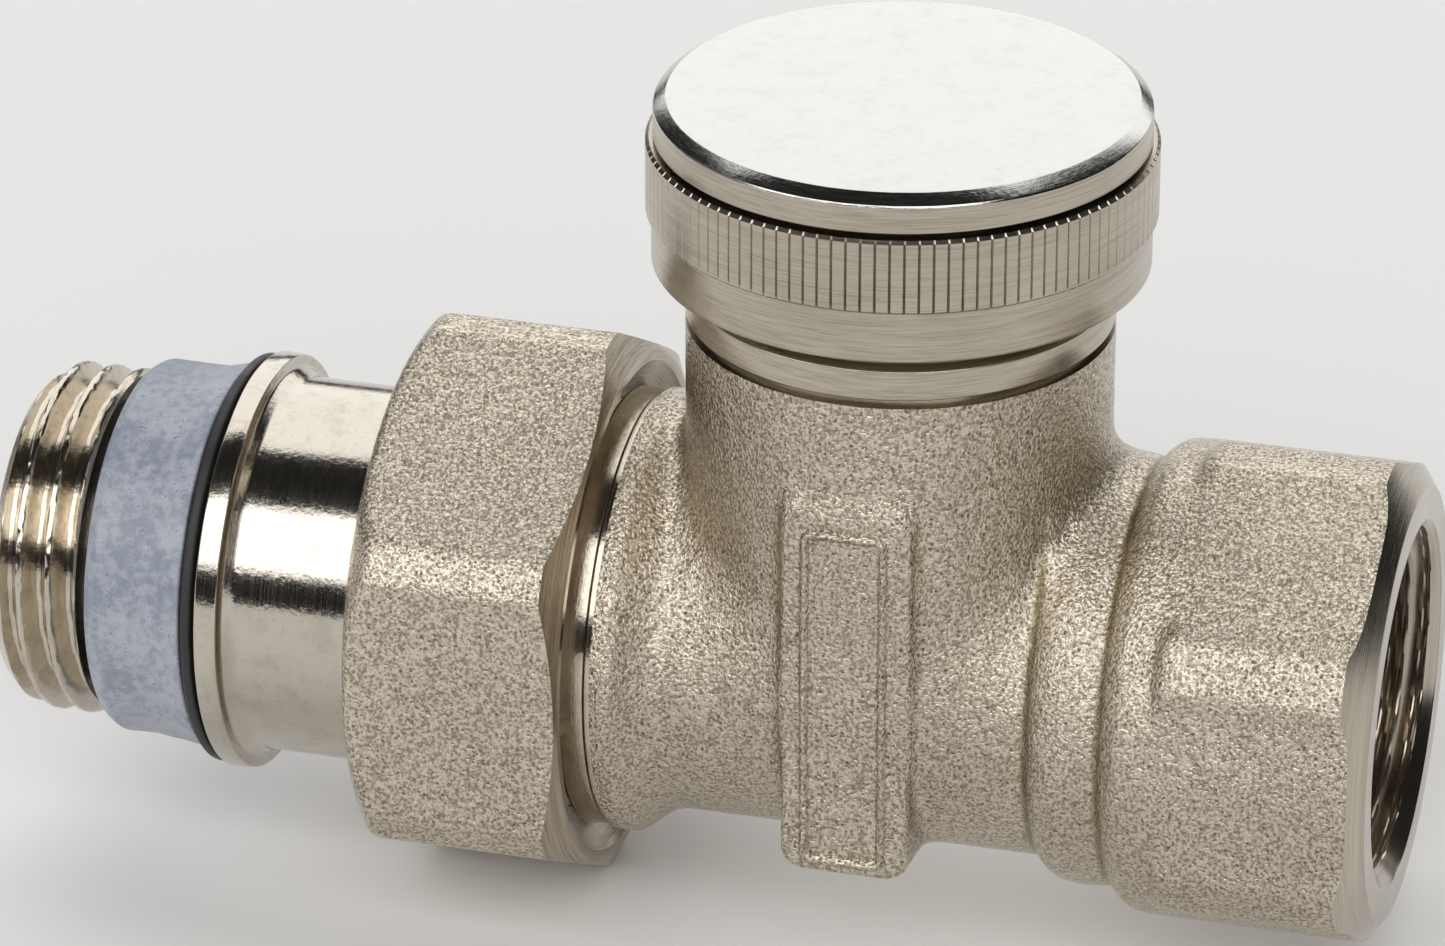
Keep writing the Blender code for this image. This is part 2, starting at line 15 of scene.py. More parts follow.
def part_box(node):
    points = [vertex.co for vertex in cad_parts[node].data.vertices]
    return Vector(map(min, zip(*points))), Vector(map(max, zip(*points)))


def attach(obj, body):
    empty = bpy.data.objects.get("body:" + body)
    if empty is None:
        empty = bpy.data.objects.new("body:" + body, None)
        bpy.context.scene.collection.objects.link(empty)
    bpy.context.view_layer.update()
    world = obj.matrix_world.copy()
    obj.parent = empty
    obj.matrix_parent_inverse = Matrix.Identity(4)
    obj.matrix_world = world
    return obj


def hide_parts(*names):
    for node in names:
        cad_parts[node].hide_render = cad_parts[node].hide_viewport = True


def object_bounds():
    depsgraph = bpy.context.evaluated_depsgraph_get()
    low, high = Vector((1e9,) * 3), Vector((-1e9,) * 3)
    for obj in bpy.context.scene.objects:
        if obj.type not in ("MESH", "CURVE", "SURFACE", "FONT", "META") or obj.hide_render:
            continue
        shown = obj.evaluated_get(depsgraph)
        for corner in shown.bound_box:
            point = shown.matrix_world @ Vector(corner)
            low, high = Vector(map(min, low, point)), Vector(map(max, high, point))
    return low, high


MM = 0.001
TAU = 2 * math.pi

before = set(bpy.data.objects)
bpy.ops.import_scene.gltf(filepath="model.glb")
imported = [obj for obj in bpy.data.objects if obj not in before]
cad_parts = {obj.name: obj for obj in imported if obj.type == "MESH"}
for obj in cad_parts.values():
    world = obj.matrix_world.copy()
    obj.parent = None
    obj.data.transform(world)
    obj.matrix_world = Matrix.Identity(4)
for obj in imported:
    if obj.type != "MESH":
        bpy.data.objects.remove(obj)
cad_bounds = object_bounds()


AXES_CROSS = Vector((sum(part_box("bonnet"), Vector()).x / 2, 0.0, 0.0))


def span(node, axis):
    """Lowest and highest place of a CAD node on one axis, in millimetres from the crossing."""
    low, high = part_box(node)
    return (low[axis] - AXES_CROSS[axis]) / MM, (high[axis] - AXES_CROSS[axis]) / MM


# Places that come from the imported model
STUB_END, SOCKET_FACE = span("valve_body", 0)
NECK_TOP = span("valve_body", 2)[1]
NUT_BACK, NUT_FRONT = span("union_nut", 0)
TAIL_END, SPIGOT_END = span("tailpiece", 0)
SEAL_BACK, SEAL_FRONT = span("thread_seal_ring", 0)
BACKING_BACK, BACKING_FRONT = span("seal_backing_ring", 0)
SNAP_BACK, SNAP_FRONT = span("nut_snap_ring", 0)
CAP_BASE, CAP_TOP = span("cap", 2)
GASKET_BASE, GASKET_TOP = span("cap_gasket", 2)
BONNET_BASE, BONNET_TOP = span("bonnet", 2)
SPINDLE_BASE, SPINDLE_TOP = span("shutoff_spindle", 2)
CLIP_BASE, CLIP_TOP = span("spindle_retaining_ring", 2)
PRESET_BASE, PRESET_TOP = span("preset_screw", 2)
THROTTLE_BASE, THROTTLE_STEM = span("throttle_cone", 2)
SEAL_LOW, SEAL_HIGH = span("seat_seal", 2)
RETAINER_LOW, RETAINER_HIGH = span("seal_retainer", 2)

PIPE_PITCH = 1.814  # of the pipe threads and the union
CAP_PITCH = 1.5
KNURLS = 112

# Radii of the threads, male (root, crest) and female (crest, root)
UNION_MALE, UNION_FEMALE = (11.45, 12.55), (11.57, 12.67)
CAP_MALE, CAP_FEMALE = (10.9, 11.65), (11.05, 11.8)
TAIL_MALE, SOCKET_FEMALE = (9.32, 10.48), (9.3, 10.42)

PIPE_RADIUS = 11.4
NECK_RADIUS = 12.35
SKIN_TOP = 21.12  # where the neck's forged skin ends under the cap
HEX_START = SOCKET_FACE - 12.3
SOCKET_APOTHEM, SOCKET_CORNER = 13.5, 14.8
LUG_HALF, LUG_FACE = 3.75, 12.48
LUG_LOW, LUG_HIGH = -9.05, 14.2
LUG_PANEL = (2.3, 10.55)  # half width and half height of the frame line on the lug
LUG_MIDDLE = 2.35
NUT_APOTHEM, NUT_CORNER = 15.5, 17.27
NUT_RIM = 15.2
NUT_MOUTH = NUT_FRONT - 1.3  # the nut's front rim
SHOULDER = NUT_FRONT  # where the forged skin starts beside the turned shoulder
RELIEF_STATIONS = (10.35, 14.8)  # corners of the run's steps, where olive painted shade lies in the creases
CREASE_SHADE_RADII = (0.0136, 0.0140)  # metres: the painted crease shade fades out between them

CLEAR = 1.0  # how far a cutting tool reaches past the piece
COARSE, FINE, FINEST = 96, 128, 192  # steps round a turned piece

# The forging's light tone is partly random tone and partly painted glint on its brightest grains.
NICKEL_LIGHT_AND_GLINT, NICKEL_DARK = (0.80, 0.72, 0.60), (0.27, 0.225, 0.155)
TURNED_LIGHT, TURNED_DARK = (0.55, 0.50, 0.42), (0.36, 0.315, 0.25)
# PIT_COLOR is the pits' own dark; the second colour is olive painted shade for the creases of the
# run's steps.
PIT_COLOR, CREASE_SHADE_COLOR = (0.10, 0.075, 0.04), (0.24, 0.205, 0.10)
SEAL_DARK, SEAL_LIGHT, SEAL_FLECK = (0.25, 0.28, 0.335), (0.405, 0.425, 0.485), (0.13, 0.14, 0.20)
RUBBER_DARK, RUBBER_LIGHT = (0.012, 0.012, 0.013), (0.035, 0.035, 0.036)
FLOOR_DARK, FLOOR_LIGHT = (0.90, 0.895, 0.885), (0.915, 0.91, 0.90)

LINE_GRAIN = 9000.0  # a lathe tool's lines per metre

# Strengths of the studio's light boxes, and of the dark between them
FRONT_LIGHT, BACK_LIGHT, LEFT_LIGHT, GAP_LIGHT = 2.35, 1.45, 0.25, 0.018


# ---- nodes


def node(tree, kind, inputs=None, **settings):
    made = tree.nodes.new(kind)
    for key, value in settings.items():
        setattr(made, key, value)
    for key, value in (inputs or {}).items():
        if isinstance(value, bpy.types.NodeSocket):
            tree.links.new(value, made.inputs[key])
        else:
            made.inputs[key].default_value = value
    return made


def calc(tree, operation, *values):
    return node(tree, "ShaderNodeMath", dict(enumerate(values)), operation=operation).outputs[0]


def remap(tree, value, low, high, to_low=0.0, to_high=1.0):
    """value eased from low..high to to_low..to_high, and held outside."""
    inputs = {0: value, 1: low, 2: high, 3: to_low, 4: to_high}
    return node(tree, "ShaderNodeMapRange", inputs, interpolation_type="SMOOTHSTEP").outputs[0]


def blend_colors(tree, share, first, second):
    """first where share is 0, second where it is 1. Each is a socket or a plain colour."""
    inputs = {0: share, 6: first, 7: second}
    for key in (6, 7):
        if not isinstance(inputs[key], bpy.types.NodeSocket):
            inputs[key] = (*inputs[key], 1.0)
    return node(tree, "ShaderNodeMix", inputs, data_type="RGBA").outputs[2]


def grain(tree, place, scale, detail=2.0, roughness=0.5):
    """Noise of one grain per 1/scale metres."""
    inputs = {"Vector": place, "Scale": scale, "Detail": detail, "Roughness": roughness}
    return node(tree, "ShaderNodeTexNoise", inputs).outputs[0]


def bump(tree, height, distance):
    inputs = {"Height": height, "Distance": distance, "Strength": 1.0}
    return node(tree, "ShaderNodeBump", inputs).outputs[0]


def start_material(name):
    made = bpy.data.materials.new(name)
    made.use_nodes = True
    tree = made.node_tree
    place = node(tree, "ShaderNodeTexCoord").outputs["Object"]
    return made, tree, tree.nodes["Principled BSDF"], place


def finish(tree, shader, color=None, roughness=None, normal=None, metallic=1.0, **constants):
    for name, value in (("Base Color", color), ("Roughness", roughness), ("Normal", normal)):
        if value is not None:
            tree.links.new(value, shader.inputs[name])
    shader.inputs["Metallic"].default_value = metallic
    for name, value in constants.items():
        shader.inputs[name.replace("_", " ")].default_value = value


def around_axis(tree, place, along):
    """(distance from the axis, angle round it, place along it) of the object's coordinates."""
    parts = node(tree, "ShaderNodeSeparateXYZ", {0: place}).outputs
    if along == "X":
        first, second, third = parts[1], parts[2], parts[0]
    else:
        first = calc(tree, "SUBTRACT", parts[0], AXES_CROSS.x)
        second, third = parts[1], parts[2]
    squares = [calc(tree, "MULTIPLY", part, part) for part in (first, second)]
    distance = calc(tree, "SQRT", calc(tree, "ADD", *squares))
    return distance, calc(tree, "ARCTAN2", second, first), third


def lathe_lines(tree, place, along, scale, around=2.0):
    """Noise drawn out round the axis, as a lathe tool leaves it."""
    distance, angle, third = around_axis(tree, place, along)
    across = calc(tree, "ADD", distance, third)
    apart = calc(tree, "SUBTRACT", distance, third)
    spot = node(
        tree,
        "ShaderNodeCombineXYZ",
        {
            0: calc(tree, "MULTIPLY", across, scale),
            1: calc(tree, "MULTIPLY", apart, scale),
            2: calc(tree, "MULTIPLY", calc(tree, "COSINE", angle), around),
        },
    ).outputs[0]
    return grain(tree, spot, 1.0, 3.0, 0.65)


def forged_metal(name, light, dark, depth, gloss, creases=()):
    """Blasted forging under nickel: pebbled, with bright grains and dull pits. The bright grains are
    partly random tone and partly painted glints. creases are the stations where olive painted shade
    lies in the corner of a step."""
    made, tree, shader, place = start_material(name)
    pebbles = grain(tree, place, 4600.0, 1.0, 0.5)
    fine = grain(tree, place, 9000.0, 2.0, 0.6)
    broad = grain(tree, place, 900.0, 2.0)
    cloud = grain(tree, place, 110.0, 3.0)
    pits = node(tree, "ShaderNodeTexVoronoi", {"Vector": place, "Scale": 3300.0}).outputs
    dots = remap(tree, pits["Distance"], 0.20, 0.38, 1.0, 0.0)
    chosen = node(tree, "ShaderNodeSeparateColor", {0: pits["Color"]}).outputs[0]
    dots = calc(tree, "MULTIPLY", dots, remap(tree, chosen, 0.40, 0.58))
    skin = calc(tree, "MULTIPLY_ADD", fine, 0.65, pebbles)
    height = calc(tree, "MULTIPLY_ADD", broad, 1.3, skin)
    height = calc(tree, "MULTIPLY_ADD", dots, -0.22, height)
    # Painted glints: the highest pebbles take the light tone, on top of random tone.
    tone = remap(tree, skin, 0.60, 1.0, 0.12, 1.0)
    tone = calc(tree, "MULTIPLY", tone, remap(tree, cloud, 0.25, 0.7, 0.86, 1.0))
    color = blend_colors(tree, tone, dark, light)
    color = blend_colors(tree, calc(tree, "MULTIPLY", dots, 0.65), color, PIT_COLOR)
    # Painted shade: an olive darkening along each step's crease, broken by broad noise and fading out
    # away from the run.
    if creases:
        distance, _, along = around_axis(tree, place, "X")
        crease_shade = 0.0
        for station in creases:
            away = calc(tree, "SUBTRACT", along, station * MM + AXES_CROSS.x)
            line = remap(tree, calc(tree, "ABSOLUTE", away), 0.00008, 0.0004, 0.8, 0.0)
            crease_shade = calc(tree, "MAXIMUM", line, crease_shade)
        crease_shade = calc(tree, "MULTIPLY", crease_shade, remap(tree, broad, 0.3, 0.6, 0.55, 1.0))
        crease_shade = calc(tree, "MULTIPLY", crease_shade, remap(tree, distance, *CREASE_SHADE_RADII, 1.0, 0.0))
        color = blend_colors(tree, crease_shade, color, CREASE_SHADE_COLOR)
    roughness = remap(tree, fine, 0.3, 0.7, gloss + 0.07, gloss - 0.05)
    finish(tree, shader, color, roughness, bump(tree, height, depth))
    return made


def turned_metal(name, light, dark, along, line_depth, gloss, anisotropic=0.0):
    """Nickel over a turned surface, with the tool's lines running round its axis."""
    made, tree, shader, place = start_material(name)
    lines = lathe_lines(tree, place, along, LINE_GRAIN, 5.0)
    bands = lathe_lines(tree, place, along, LINE_GRAIN / 7)
    cloud = grain(tree, place, 160.0, 3.0)
    height = calc(tree, "MULTIPLY_ADD", bands, 0.8, lines)
    tone = calc(tree, "MULTIPLY_ADD", lines, 0.75, calc(tree, "MULTIPLY", bands, 0.25))
    color = blend_colors(tree, remap(tree, tone, 0.3, 0.62), dark, light)
    color = blend_colors(tree, remap(tree, cloud, 0.3, 0.75, 0.0, 0.22), color, dark)
    roughness = remap(tree, cloud, 0.3, 0.7, gloss, gloss + 0.07)
    constants = {}
    if anisotropic:
        constants["Anisotropic"] = anisotropic
        tangent = node(tree, "ShaderNodeTangent", direction_type="RADIAL", axis=along).outputs[0]
        tree.links.new(tangent, shader.inputs["Tangent"])
    finish(tree, shader, color, roughness, bump(tree, height, line_depth), **constants)
    return made


def polished_metal(name, light, dark, along, gloss):
    """Bright nickel with fine scratches round its axis and a few stains."""
    made, tree, shader, place = start_material(name)
    scratches = lathe_lines(tree, place, along, 16000.0, 9.0)
    stains = grain(tree, place, 700.0, 4.0, 0.7)
    speckle = remap(tree, grain(tree, place, 3500.0, 2.0), 0.62, 0.72)
    color = blend_colors(tree, remap(tree, stains, 0.45, 0.75, 0.0, 0.45), light, dark)
    color = blend_colors(tree, calc(tree, "MULTIPLY", speckle, 0.35), color, dark)
    roughness = remap(tree, scratches, 0.3, 0.7, gloss, gloss + 0.10)
    dents = calc(tree, "MULTIPLY_ADD", grain(tree, place, 2600.0, 2.0, 0.6), 2.2, scratches)
    finish(tree, shader, color, roughness, bump(tree, dents, 0.0000045))
    return made


def mottled_plastic(name):
    """The thread seal: pale blue-grey, clouded and flecked."""
    made, tree, shader, place = start_material(name)
    cloud = grain(tree, place, 1700.0, 3.0, 0.6)
    drift = grain(tree, place, 300.0, 2.0)
    flecks = remap(tree, grain(tree, place, 3400.0, 1.0), 0.665, 0.72)
    skin = grain(tree, place, 2600.0, 2.0)
    tone = calc(tree, "MULTIPLY_ADD", drift, 0.55, calc(tree, "MULTIPLY", cloud, 0.75))
    color = blend_colors(tree, remap(tree, tone, 0.50, 0.78), SEAL_DARK, SEAL_LIGHT)
    color = blend_colors(tree, calc(tree, "MULTIPLY", flecks, 0.6), color, SEAL_FLECK)
    roughness = remap(tree, cloud, 0.3, 0.7, 0.34, 0.48)
    finish(tree, shader, color, roughness, bump(tree, skin, 0.000012), metallic=0.0)
    return made


def rubber(name):
    made, tree, shader, place = start_material(name)
    cloud = grain(tree, place, 500.0, 3.0)
    skin = grain(tree, place, 5200.0, 2.0)
    color = blend_colors(tree, cloud, RUBBER_DARK, RUBBER_LIGHT)
    roughness = remap(tree, cloud, 0.3, 0.7, 0.42, 0.62)
    finish(tree, shader, color, roughness, bump(tree, skin, 0.000008), metallic=0.0)
    return made


def make_materials():
    """One per finish, each from its light and dark tones, axis, relief in metres and gloss."""
    forged = NICKEL_LIGHT_AND_GLINT, NICKEL_DARK
    turned = TURNED_LIGHT, TURNED_DARK
    # The socket thread's tones are darker than turned nickel: painted shade inside the socket.
    thread = (0.50, 0.44, 0.36), (0.30, 0.25, 0.19)
    # The chamfer tones are darker than turned nickel: painted shade on the nut's chamfer and
    # countersink.
    chamfer = (0.50, 0.44, 0.35), (0.20, 0.16, 0.11)
    tail_thread = (0.60, 0.54, 0.45), (0.30, 0.25, 0.17)
    tail = (0.585, 0.54, 0.47), (0.38, 0.33, 0.26)
    crown = (0.59, 0.578, 0.552), (0.50, 0.485, 0.445)
    # The bore tones are partly the cast surface's own and partly painted shade inside the passages.
    bore = (0.40, 0.36, 0.29), (0.24, 0.21, 0.16)
    brass = (0.78, 0.60, 0.30), (0.56, 0.40, 0.17)
    steel = (0.58, 0.585, 0.59), (0.34, 0.34, 0.345)
    screw = (0.60, 0.60, 0.60), (0.38, 0.38, 0.38)
    return {
        "forged": forged_metal("forged_nickel", *forged, 0.00010, 0.19, RELIEF_STATIONS),
        "nut": forged_metal("nut_nickel", *forged, 0.000085, 0.20),
        "run": turned_metal("turned_nickel_run", *turned, "X", 0.000006, 0.15),
        "stem": turned_metal("turned_nickel_stem", *turned, "Z", 0.000006, 0.19),
        "cap": turned_metal("turned_nickel_cap", *turned, "Z", 0.000005, 0.20, anisotropic=0.5),
        "thread": turned_metal("thread_nickel_painted_shade", *thread, "X", 0.000004, 0.24),
        "chamfer": turned_metal("chamfer_nickel_painted_shade", *chamfer, "X", 0.000008, 0.16),
        "tail_thread": polished_metal("polished_thread", *tail_thread, "X", 0.09),
        "tail": polished_metal("polished_nickel", *tail, "X", 0.07),
        "crown": polished_metal("polished_nickel_crown", *crown, "Z", 0.07),
        "bore": forged_metal("cast_bore_and_shade", *bore, 0.00005, 0.5),
        "brass": turned_metal("bare_brass", *brass, "Z", 0.000006, 0.22),
        "steel": turned_metal("spring_steel", *steel, "X", 0.000004, 0.25),
        "screw": turned_metal("screw_steel", *screw, "Z", 0.000004, 0.22),
        "rubber": rubber("black_rubber"),
        "seal": mottled_plastic("seal_plastic"),
    }


# ---- meshes


def to_world(points):
    return np.asarray(points, float) * MM + np.array(AXES_CROSS)


def make_object(name, points, faces, materials, slots):
    """A mesh object from points in millimetres from the crossing. Its faces are turned outward."""
    mesh = bpy.data.meshes.new(name)
    points = np.asarray(points, float)
    fans = np.array([(f[0], f[i], f[i + 1]) for f in faces for i in range(1, len(f) - 1)])
    a, b, c = (points[fans[:, k]] for k in range(3))
    total = np.einsum("ij,ij->", a, np.cross(b, c))
    if total < 0:
        faces = [f[::-1] for f in faces]
    mesh.from_pydata(to_world(points).tolist(), [], [list(map(int, f)) for f in faces])
    for material in materials:
        mesh.materials.append(material)
    mesh.polygons.foreach_set("material_index", np.asarray(slots, np.int32))
    obj = bpy.data.objects.new(name, mesh)
    bpy.context.scene.collection.objects.link(obj)
    return obj


def rounded(outline, closed, steps=4):
    """The outline's points, with each corner that names a third number rounded by that radius."""
    made = []
    for i, point in enumerate(outline):
        at_end = not closed and i in (0, len(outline) - 1)
        if len(point) < 3 or at_end:
            made.append(np.array(point[:2], float))
            continue
        corner = np.array(point[:2], float)
        before = np.array(outline[i - 1][:2], float) - corner
        after = np.array(outline[(i + 1) % len(outline)][:2], float) - corner
        lengths = np.linalg.norm(before), np.linalg.norm(after)
        before, after = before / lengths[0], after / lengths[1]
        half = math.acos(max(-1.0, min(1.0, float(before @ after)))) / 2
        reach = min(point[2] / math.tan(half), 0.48 * min(lengths))
        radius = reach * math.tan(half)
        halfway = (before + after) / np.linalg.norm(before + after)
        centre = corner + halfway * radius / math.sin(half)
        start, end = corner + before * reach - centre, corner + after * reach - centre
        sweep = math.pi - 2 * half
        for k in range(steps + 1):
            share = k / steps
            weights = math.sin((1 - share) * sweep), math.sin(share * sweep)
            made.append(centre + (start * weights[0] + end * weights[1]) / math.sin(sweep))
    return made


def densified(points, closed, fine):
    """Points along the outline, at most the named step apart inside each (low, high, step)."""
    made = []
    for i, point in enumerate(points):
        made.append(point)
        if i == len(points) - 1 and not closed:
            break
        after = points[(i + 1) % len(points)]
        for low, high, step in fine:
            if low - 1e-6 <= min(point[1], after[1]) and max(point[1], after[1]) <= high + 1e-6:
                parts = math.ceil(float(np.linalg.norm(after - point)) / step)
                made += [point + (after - point) * k / parts for k in range(1, parts)]
                break
    return np.array(made)


def on_axis(axis, along, radius, angle):
    side = radius * np.cos(angle), radius * np.sin(angle)
    return (along, *side) if axis == "X" else (*side, along)


def lathe(
    name, outline, axis, materials, steps=COARSE,
    closed=True, shape=None, fine=(), slot=0, twist=0.0,
):
    """A piece turned round the pipe (X) or the spindle (Z). The outline lists (radius, along[,
    rounding]); an open one starts and ends on the axis. shape(radius, along, angle) gives each
    point's radius. slot may be a function of (radius, along), and steps a list of angles."""
    points = densified(rounded(outline, closed), closed, fine)
    angle = steps if np.ndim(steps) else np.arange(steps) / steps * TAU + twist
    steps = len(angle)
    radius, turn = np.meshgrid(points[:, 0], angle, indexing="ij")
    along = np.broadcast_to(points[:, 1][:, None], radius.shape)
    if shape:
        radius = shape(radius, along, turn)
    grid = np.stack(on_axis(axis, along, radius, turn), -1)
    rows = len(points)
    index = np.arange(rows * steps).reshape(rows, steps)
    verts = grid.reshape(-1, 3)
    if not closed:
        index[0], index[-1] = index[0, 0], index[-1, 0]
    faces, slots = [], []
    for i in range(rows if closed else rows - 1):
        j = (i + 1) % rows
        here, there = index[i], index[j]
        middle = (points[i] + points[j]) / 2
        place = slot(*middle) if callable(slot) else slot
        corners = [here, there, np.roll(there, -1), np.roll(here, -1)]
        if not closed and i == 0:
            corners.pop(3)
        elif not closed and i == rows - 2:
            corners.pop(2)
        faces += np.stack(corners, 1).tolist()
        slots += [place] * steps
    used = np.unique(np.concatenate([np.asarray(f) for f in faces]))
    renumber = np.full(len(verts), -1)
    renumber[used] = np.arange(len(used))
    faces = [[int(renumber[v]) for v in f] for f in faces]
    return make_object(name, verts[used], faces, materials, slots)


def torus(name, inner, section, middle, axis, materials, sides=18):
    half = section / 2
    turns = [TAU * k / sides for k in range(sides)]
    outline = [(inner + half * (1 + math.cos(t)), middle + half * math.sin(t)) for t in turns]
    return lathe(name, outline, axis, materials)


def prism(name, across_flats, low, high, axis, materials, slot=0):
    """A hexagon bar whose first corner points along Z (on X) or X (on Z)."""
    corner = across_flats / 2 / math.cos(math.radians(30))
    start = math.radians(90) if axis == "X" else 0.0
    outline = [(0.0, low), (corner, low), (corner, high), (0.0, high)]
    return lathe(name, outline, axis, materials, 6, closed=False, slot=slot, twist=start)


def block(name, low, high, materials):
    xs, ys, zs = zip(low, high)
    corners = [(x, y, z) for x in xs for y in ys for z in zs]
    faces = [(0, 1, 3, 2), (4, 6, 7, 5), (0, 4, 5, 1), (2, 3, 7, 6), (0, 2, 6, 4), (1, 5, 7, 3)]
    return make_object(name, corners, faces, materials, [0] * len(faces))


def ring_groove(outer, inner, middle, half, edge):
    """Outline of an O-ring's groove, from above or in front. edge rounds its outer edges."""
    high, low = middle + half, middle - half
    return [(outer, high, edge), (inner, high, 0.1), (inner, low, 0.1), (outer, low, edge)]


def leaning_bar(name, radius, start, end, materials, slot, steps=48):
    """A round bar between two (station, height) points of the plane through both axes."""
    run = np.array([end[0] - start[0], 0.0, end[1] - start[1]])
    side = np.array([0.0, 1.0, 0.0])
    up = np.cross(run / np.linalg.norm(run), side)
    base = np.array([start[0], 0.0, start[1]])
    turn = np.arange(steps) / steps * TAU
    ring = radius * (np.cos(turn)[:, None] * side + np.sin(turn)[:, None] * up)
    verts = np.concatenate([base + ring, base + run + ring])
    lower, upper = list(range(steps)), list(range(steps, 2 * steps))
    faces = [[i, (i + 1) % steps, steps + (i + 1) % steps, steps + i] for i in range(steps)]
    faces += [lower[::-1], upper]
    return make_object(name, verts, faces, materials, [slot] * len(faces))


def combine(obj, tool, operation):
    """Applies a Boolean and removes its tool."""
    modifier = obj.modifiers.new("Combine", "BOOLEAN")
    modifier.operation = operation
    modifier.solver = "MANIFOLD"
    modifier.object = tool
    bpy.context.view_layer.update()
    graph = bpy.context.evaluated_depsgraph_get()
    mesh = bpy.data.meshes.new_from_object(obj.evaluated_get(graph))
    obj.modifiers.clear()
    old = obj.data
    obj.data = mesh
    bpy.data.meshes.remove(old)
    bpy.data.objects.remove(tool, do_unlink=True)
    mesh.name = obj.name
    if not mesh.polygons:
        raise RuntimeError(f"{obj.name}: the {operation} left nothing")
    return obj


def carve(obj, name, outline, axis, materials, steps, operation="DIFFERENCE", closed=False, **more):
    """Combines a piece with a solid turned round an axis."""
    combine(obj, lathe(name, outline, axis, materials, steps, closed, **more), operation)


def settle(obj, body, replaced, sharp=35.0):
    """Shades a finished piece and says which body it rides and which CAD node it replaces."""
    obj.data.shade_smooth()
    obj.data.set_sharp_from_angle(angle=math.radians(sharp))
    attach(obj, body)
    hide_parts(replaced)


def smooth_min(a, b, reach):
    """The smaller of two distances, with a fillet of about that reach where they meet."""
    near = np.maximum(reach - np.abs(a - b), 0.0) / reach
    return np.minimum(a, b) - near * near * reach / 4


def smooth_max(a, b, reach):
    return -smooth_min(-a, -b, reach)


def flats(y, z, apothem, reach):
    """Distance outside a hexagon round X with corners up and down."""
    made = None
    for degrees in (0, 60, 120):
        side = math.radians(degrees)
        away = np.abs(y * math.cos(side) + z * math.sin(side)) - apothem
        made = away if made is None else smooth_max(made, away, reach)
    return made


def spaced(stops):
    """Grid places from (end, step) stops, the first of which is the start."""
    made = [stops[0]]
    for end, step in stops[1:]:
        count = max(1, round((end - made[-1]) / step))
        made += list(np.linspace(made[-1], end, count + 1)[1:])
    return np.array(made)


def gradient(distance, points, step=0.02):
    made = np.empty_like(points)
    for axis in range(3):
        ahead, behind = points.copy(), points.copy()
        ahead[:, axis] += step
        behind[:, axis] -= step
        made[:, axis] = distance(*ahead.T) - distance(*behind.T)
    return made / (2 * step)


def shell(distance, axes):
    """Points and quads of the closed surface where distance() is zero, by surface nets."""
    field = np.empty([len(a) for a in axes], np.float32)
    slab = 8  # layers reckoned at a time, to spare memory
    for i in range(0, len(axes[0]), slab):
        x = axes[0][i : i + slab][:, None, None]
        field[i : i + slab] = distance(x, axes[1][None, :, None], axes[2][None, None, :])
    inside = field < 0
    count = sum(
        inside[i : i - 1 or None, j : j - 1 or None, k : k - 1 or None].astype(np.int8)
        for i in (0, 1) for j in (0, 1) for k in (0, 1)
    )
    active = (count > 0) & (count < 8)
    number = np.full(active.shape, -1)
    number[active] = np.arange(active.sum())
    cells = np.argwhere(active)
    points = np.stack(
        [(axes[k][cells[:, k]] + axes[k][cells[:, k] + 1]) / 2 for k in range(3)], 1
    )
    quads = []
    for axis in range(3):
        low = [slice(None)] * 3
        high = [slice(None)] * 3
        low[axis], high[axis] = slice(None, -1), slice(1, None)
        change = inside[tuple(low)] != inside[tuple(high)]
        edges = np.argwhere(change)
        outward = inside[tuple(low)][change]
        others = [k for k in range(3) if k != axis]
        corners = []
        for a, b in ((-1, -1), (0, -1), (0, 0), (-1, 0)):
            cell = edges.copy()
            cell[:, others[0]] += a
            cell[:, others[1]] += b
            corners.append(number[tuple(cell.T)])
        quad = np.stack(corners, 1)
        flip = outward if axis != 1 else ~outward
        quad[~flip] = quad[~flip][:, ::-1]
        quads.append(quad)
    quads = np.concatenate(quads)
    ends = np.concatenate([quads[:, [k, (k + 1) % 4]] for k in range(4)])
    neighbours = np.bincount(ends.ravel(), minlength=len(points))[:, None]
    # Even the net out and pull it back onto the surface, by turns
    for again in range(5):
        if again:
            total = np.zeros_like(points)
            for k in range(3):
                total[:, k] = np.bincount(ends[:, 0], points[ends[:, 1], k], len(points))
                total[:, k] += np.bincount(ends[:, 1], points[ends[:, 0], k], len(points))
            points = points + 0.6 * (total / neighbours - points)
        for _ in range(3):
            away = distance(*points.T)
            slope = gradient(distance, points)
            size = np.maximum((slope * slope).sum(1), 0.25)
            points = points - slope * (away / size)[:, None]
    return points, quads


def roughened(points, distance, amount, scale, seed):
    """Points moved a little along the surface's normal, as forging scale leaves it."""
    slope = gradient(distance, points)
    normal = slope / np.linalg.norm(slope, axis=1)[:, None]
    shift = Vector((seed, seed * 2.0, seed * 3.0))

    def height(point):
        broad = noise.noise(point * scale + shift)
        return broad + 0.6 * noise.noise(point * scale * 2.3 - shift)

    heights = np.array([height(Vector(point)) for point in points])
    return points + normal * (heights * amount)[:, None]


def tooth(turns):
    """0 at a thread's root to 1 at its crest, rounded at both."""
    phase = turns - np.floor(turns)
    rise = np.clip((1 - np.abs(2 * phase - 1) - 0.16) / 0.68, 0.0, 1.0)
    return 0.8 * rise + 0.2 * rise * rise * (3 - 2 * rise)


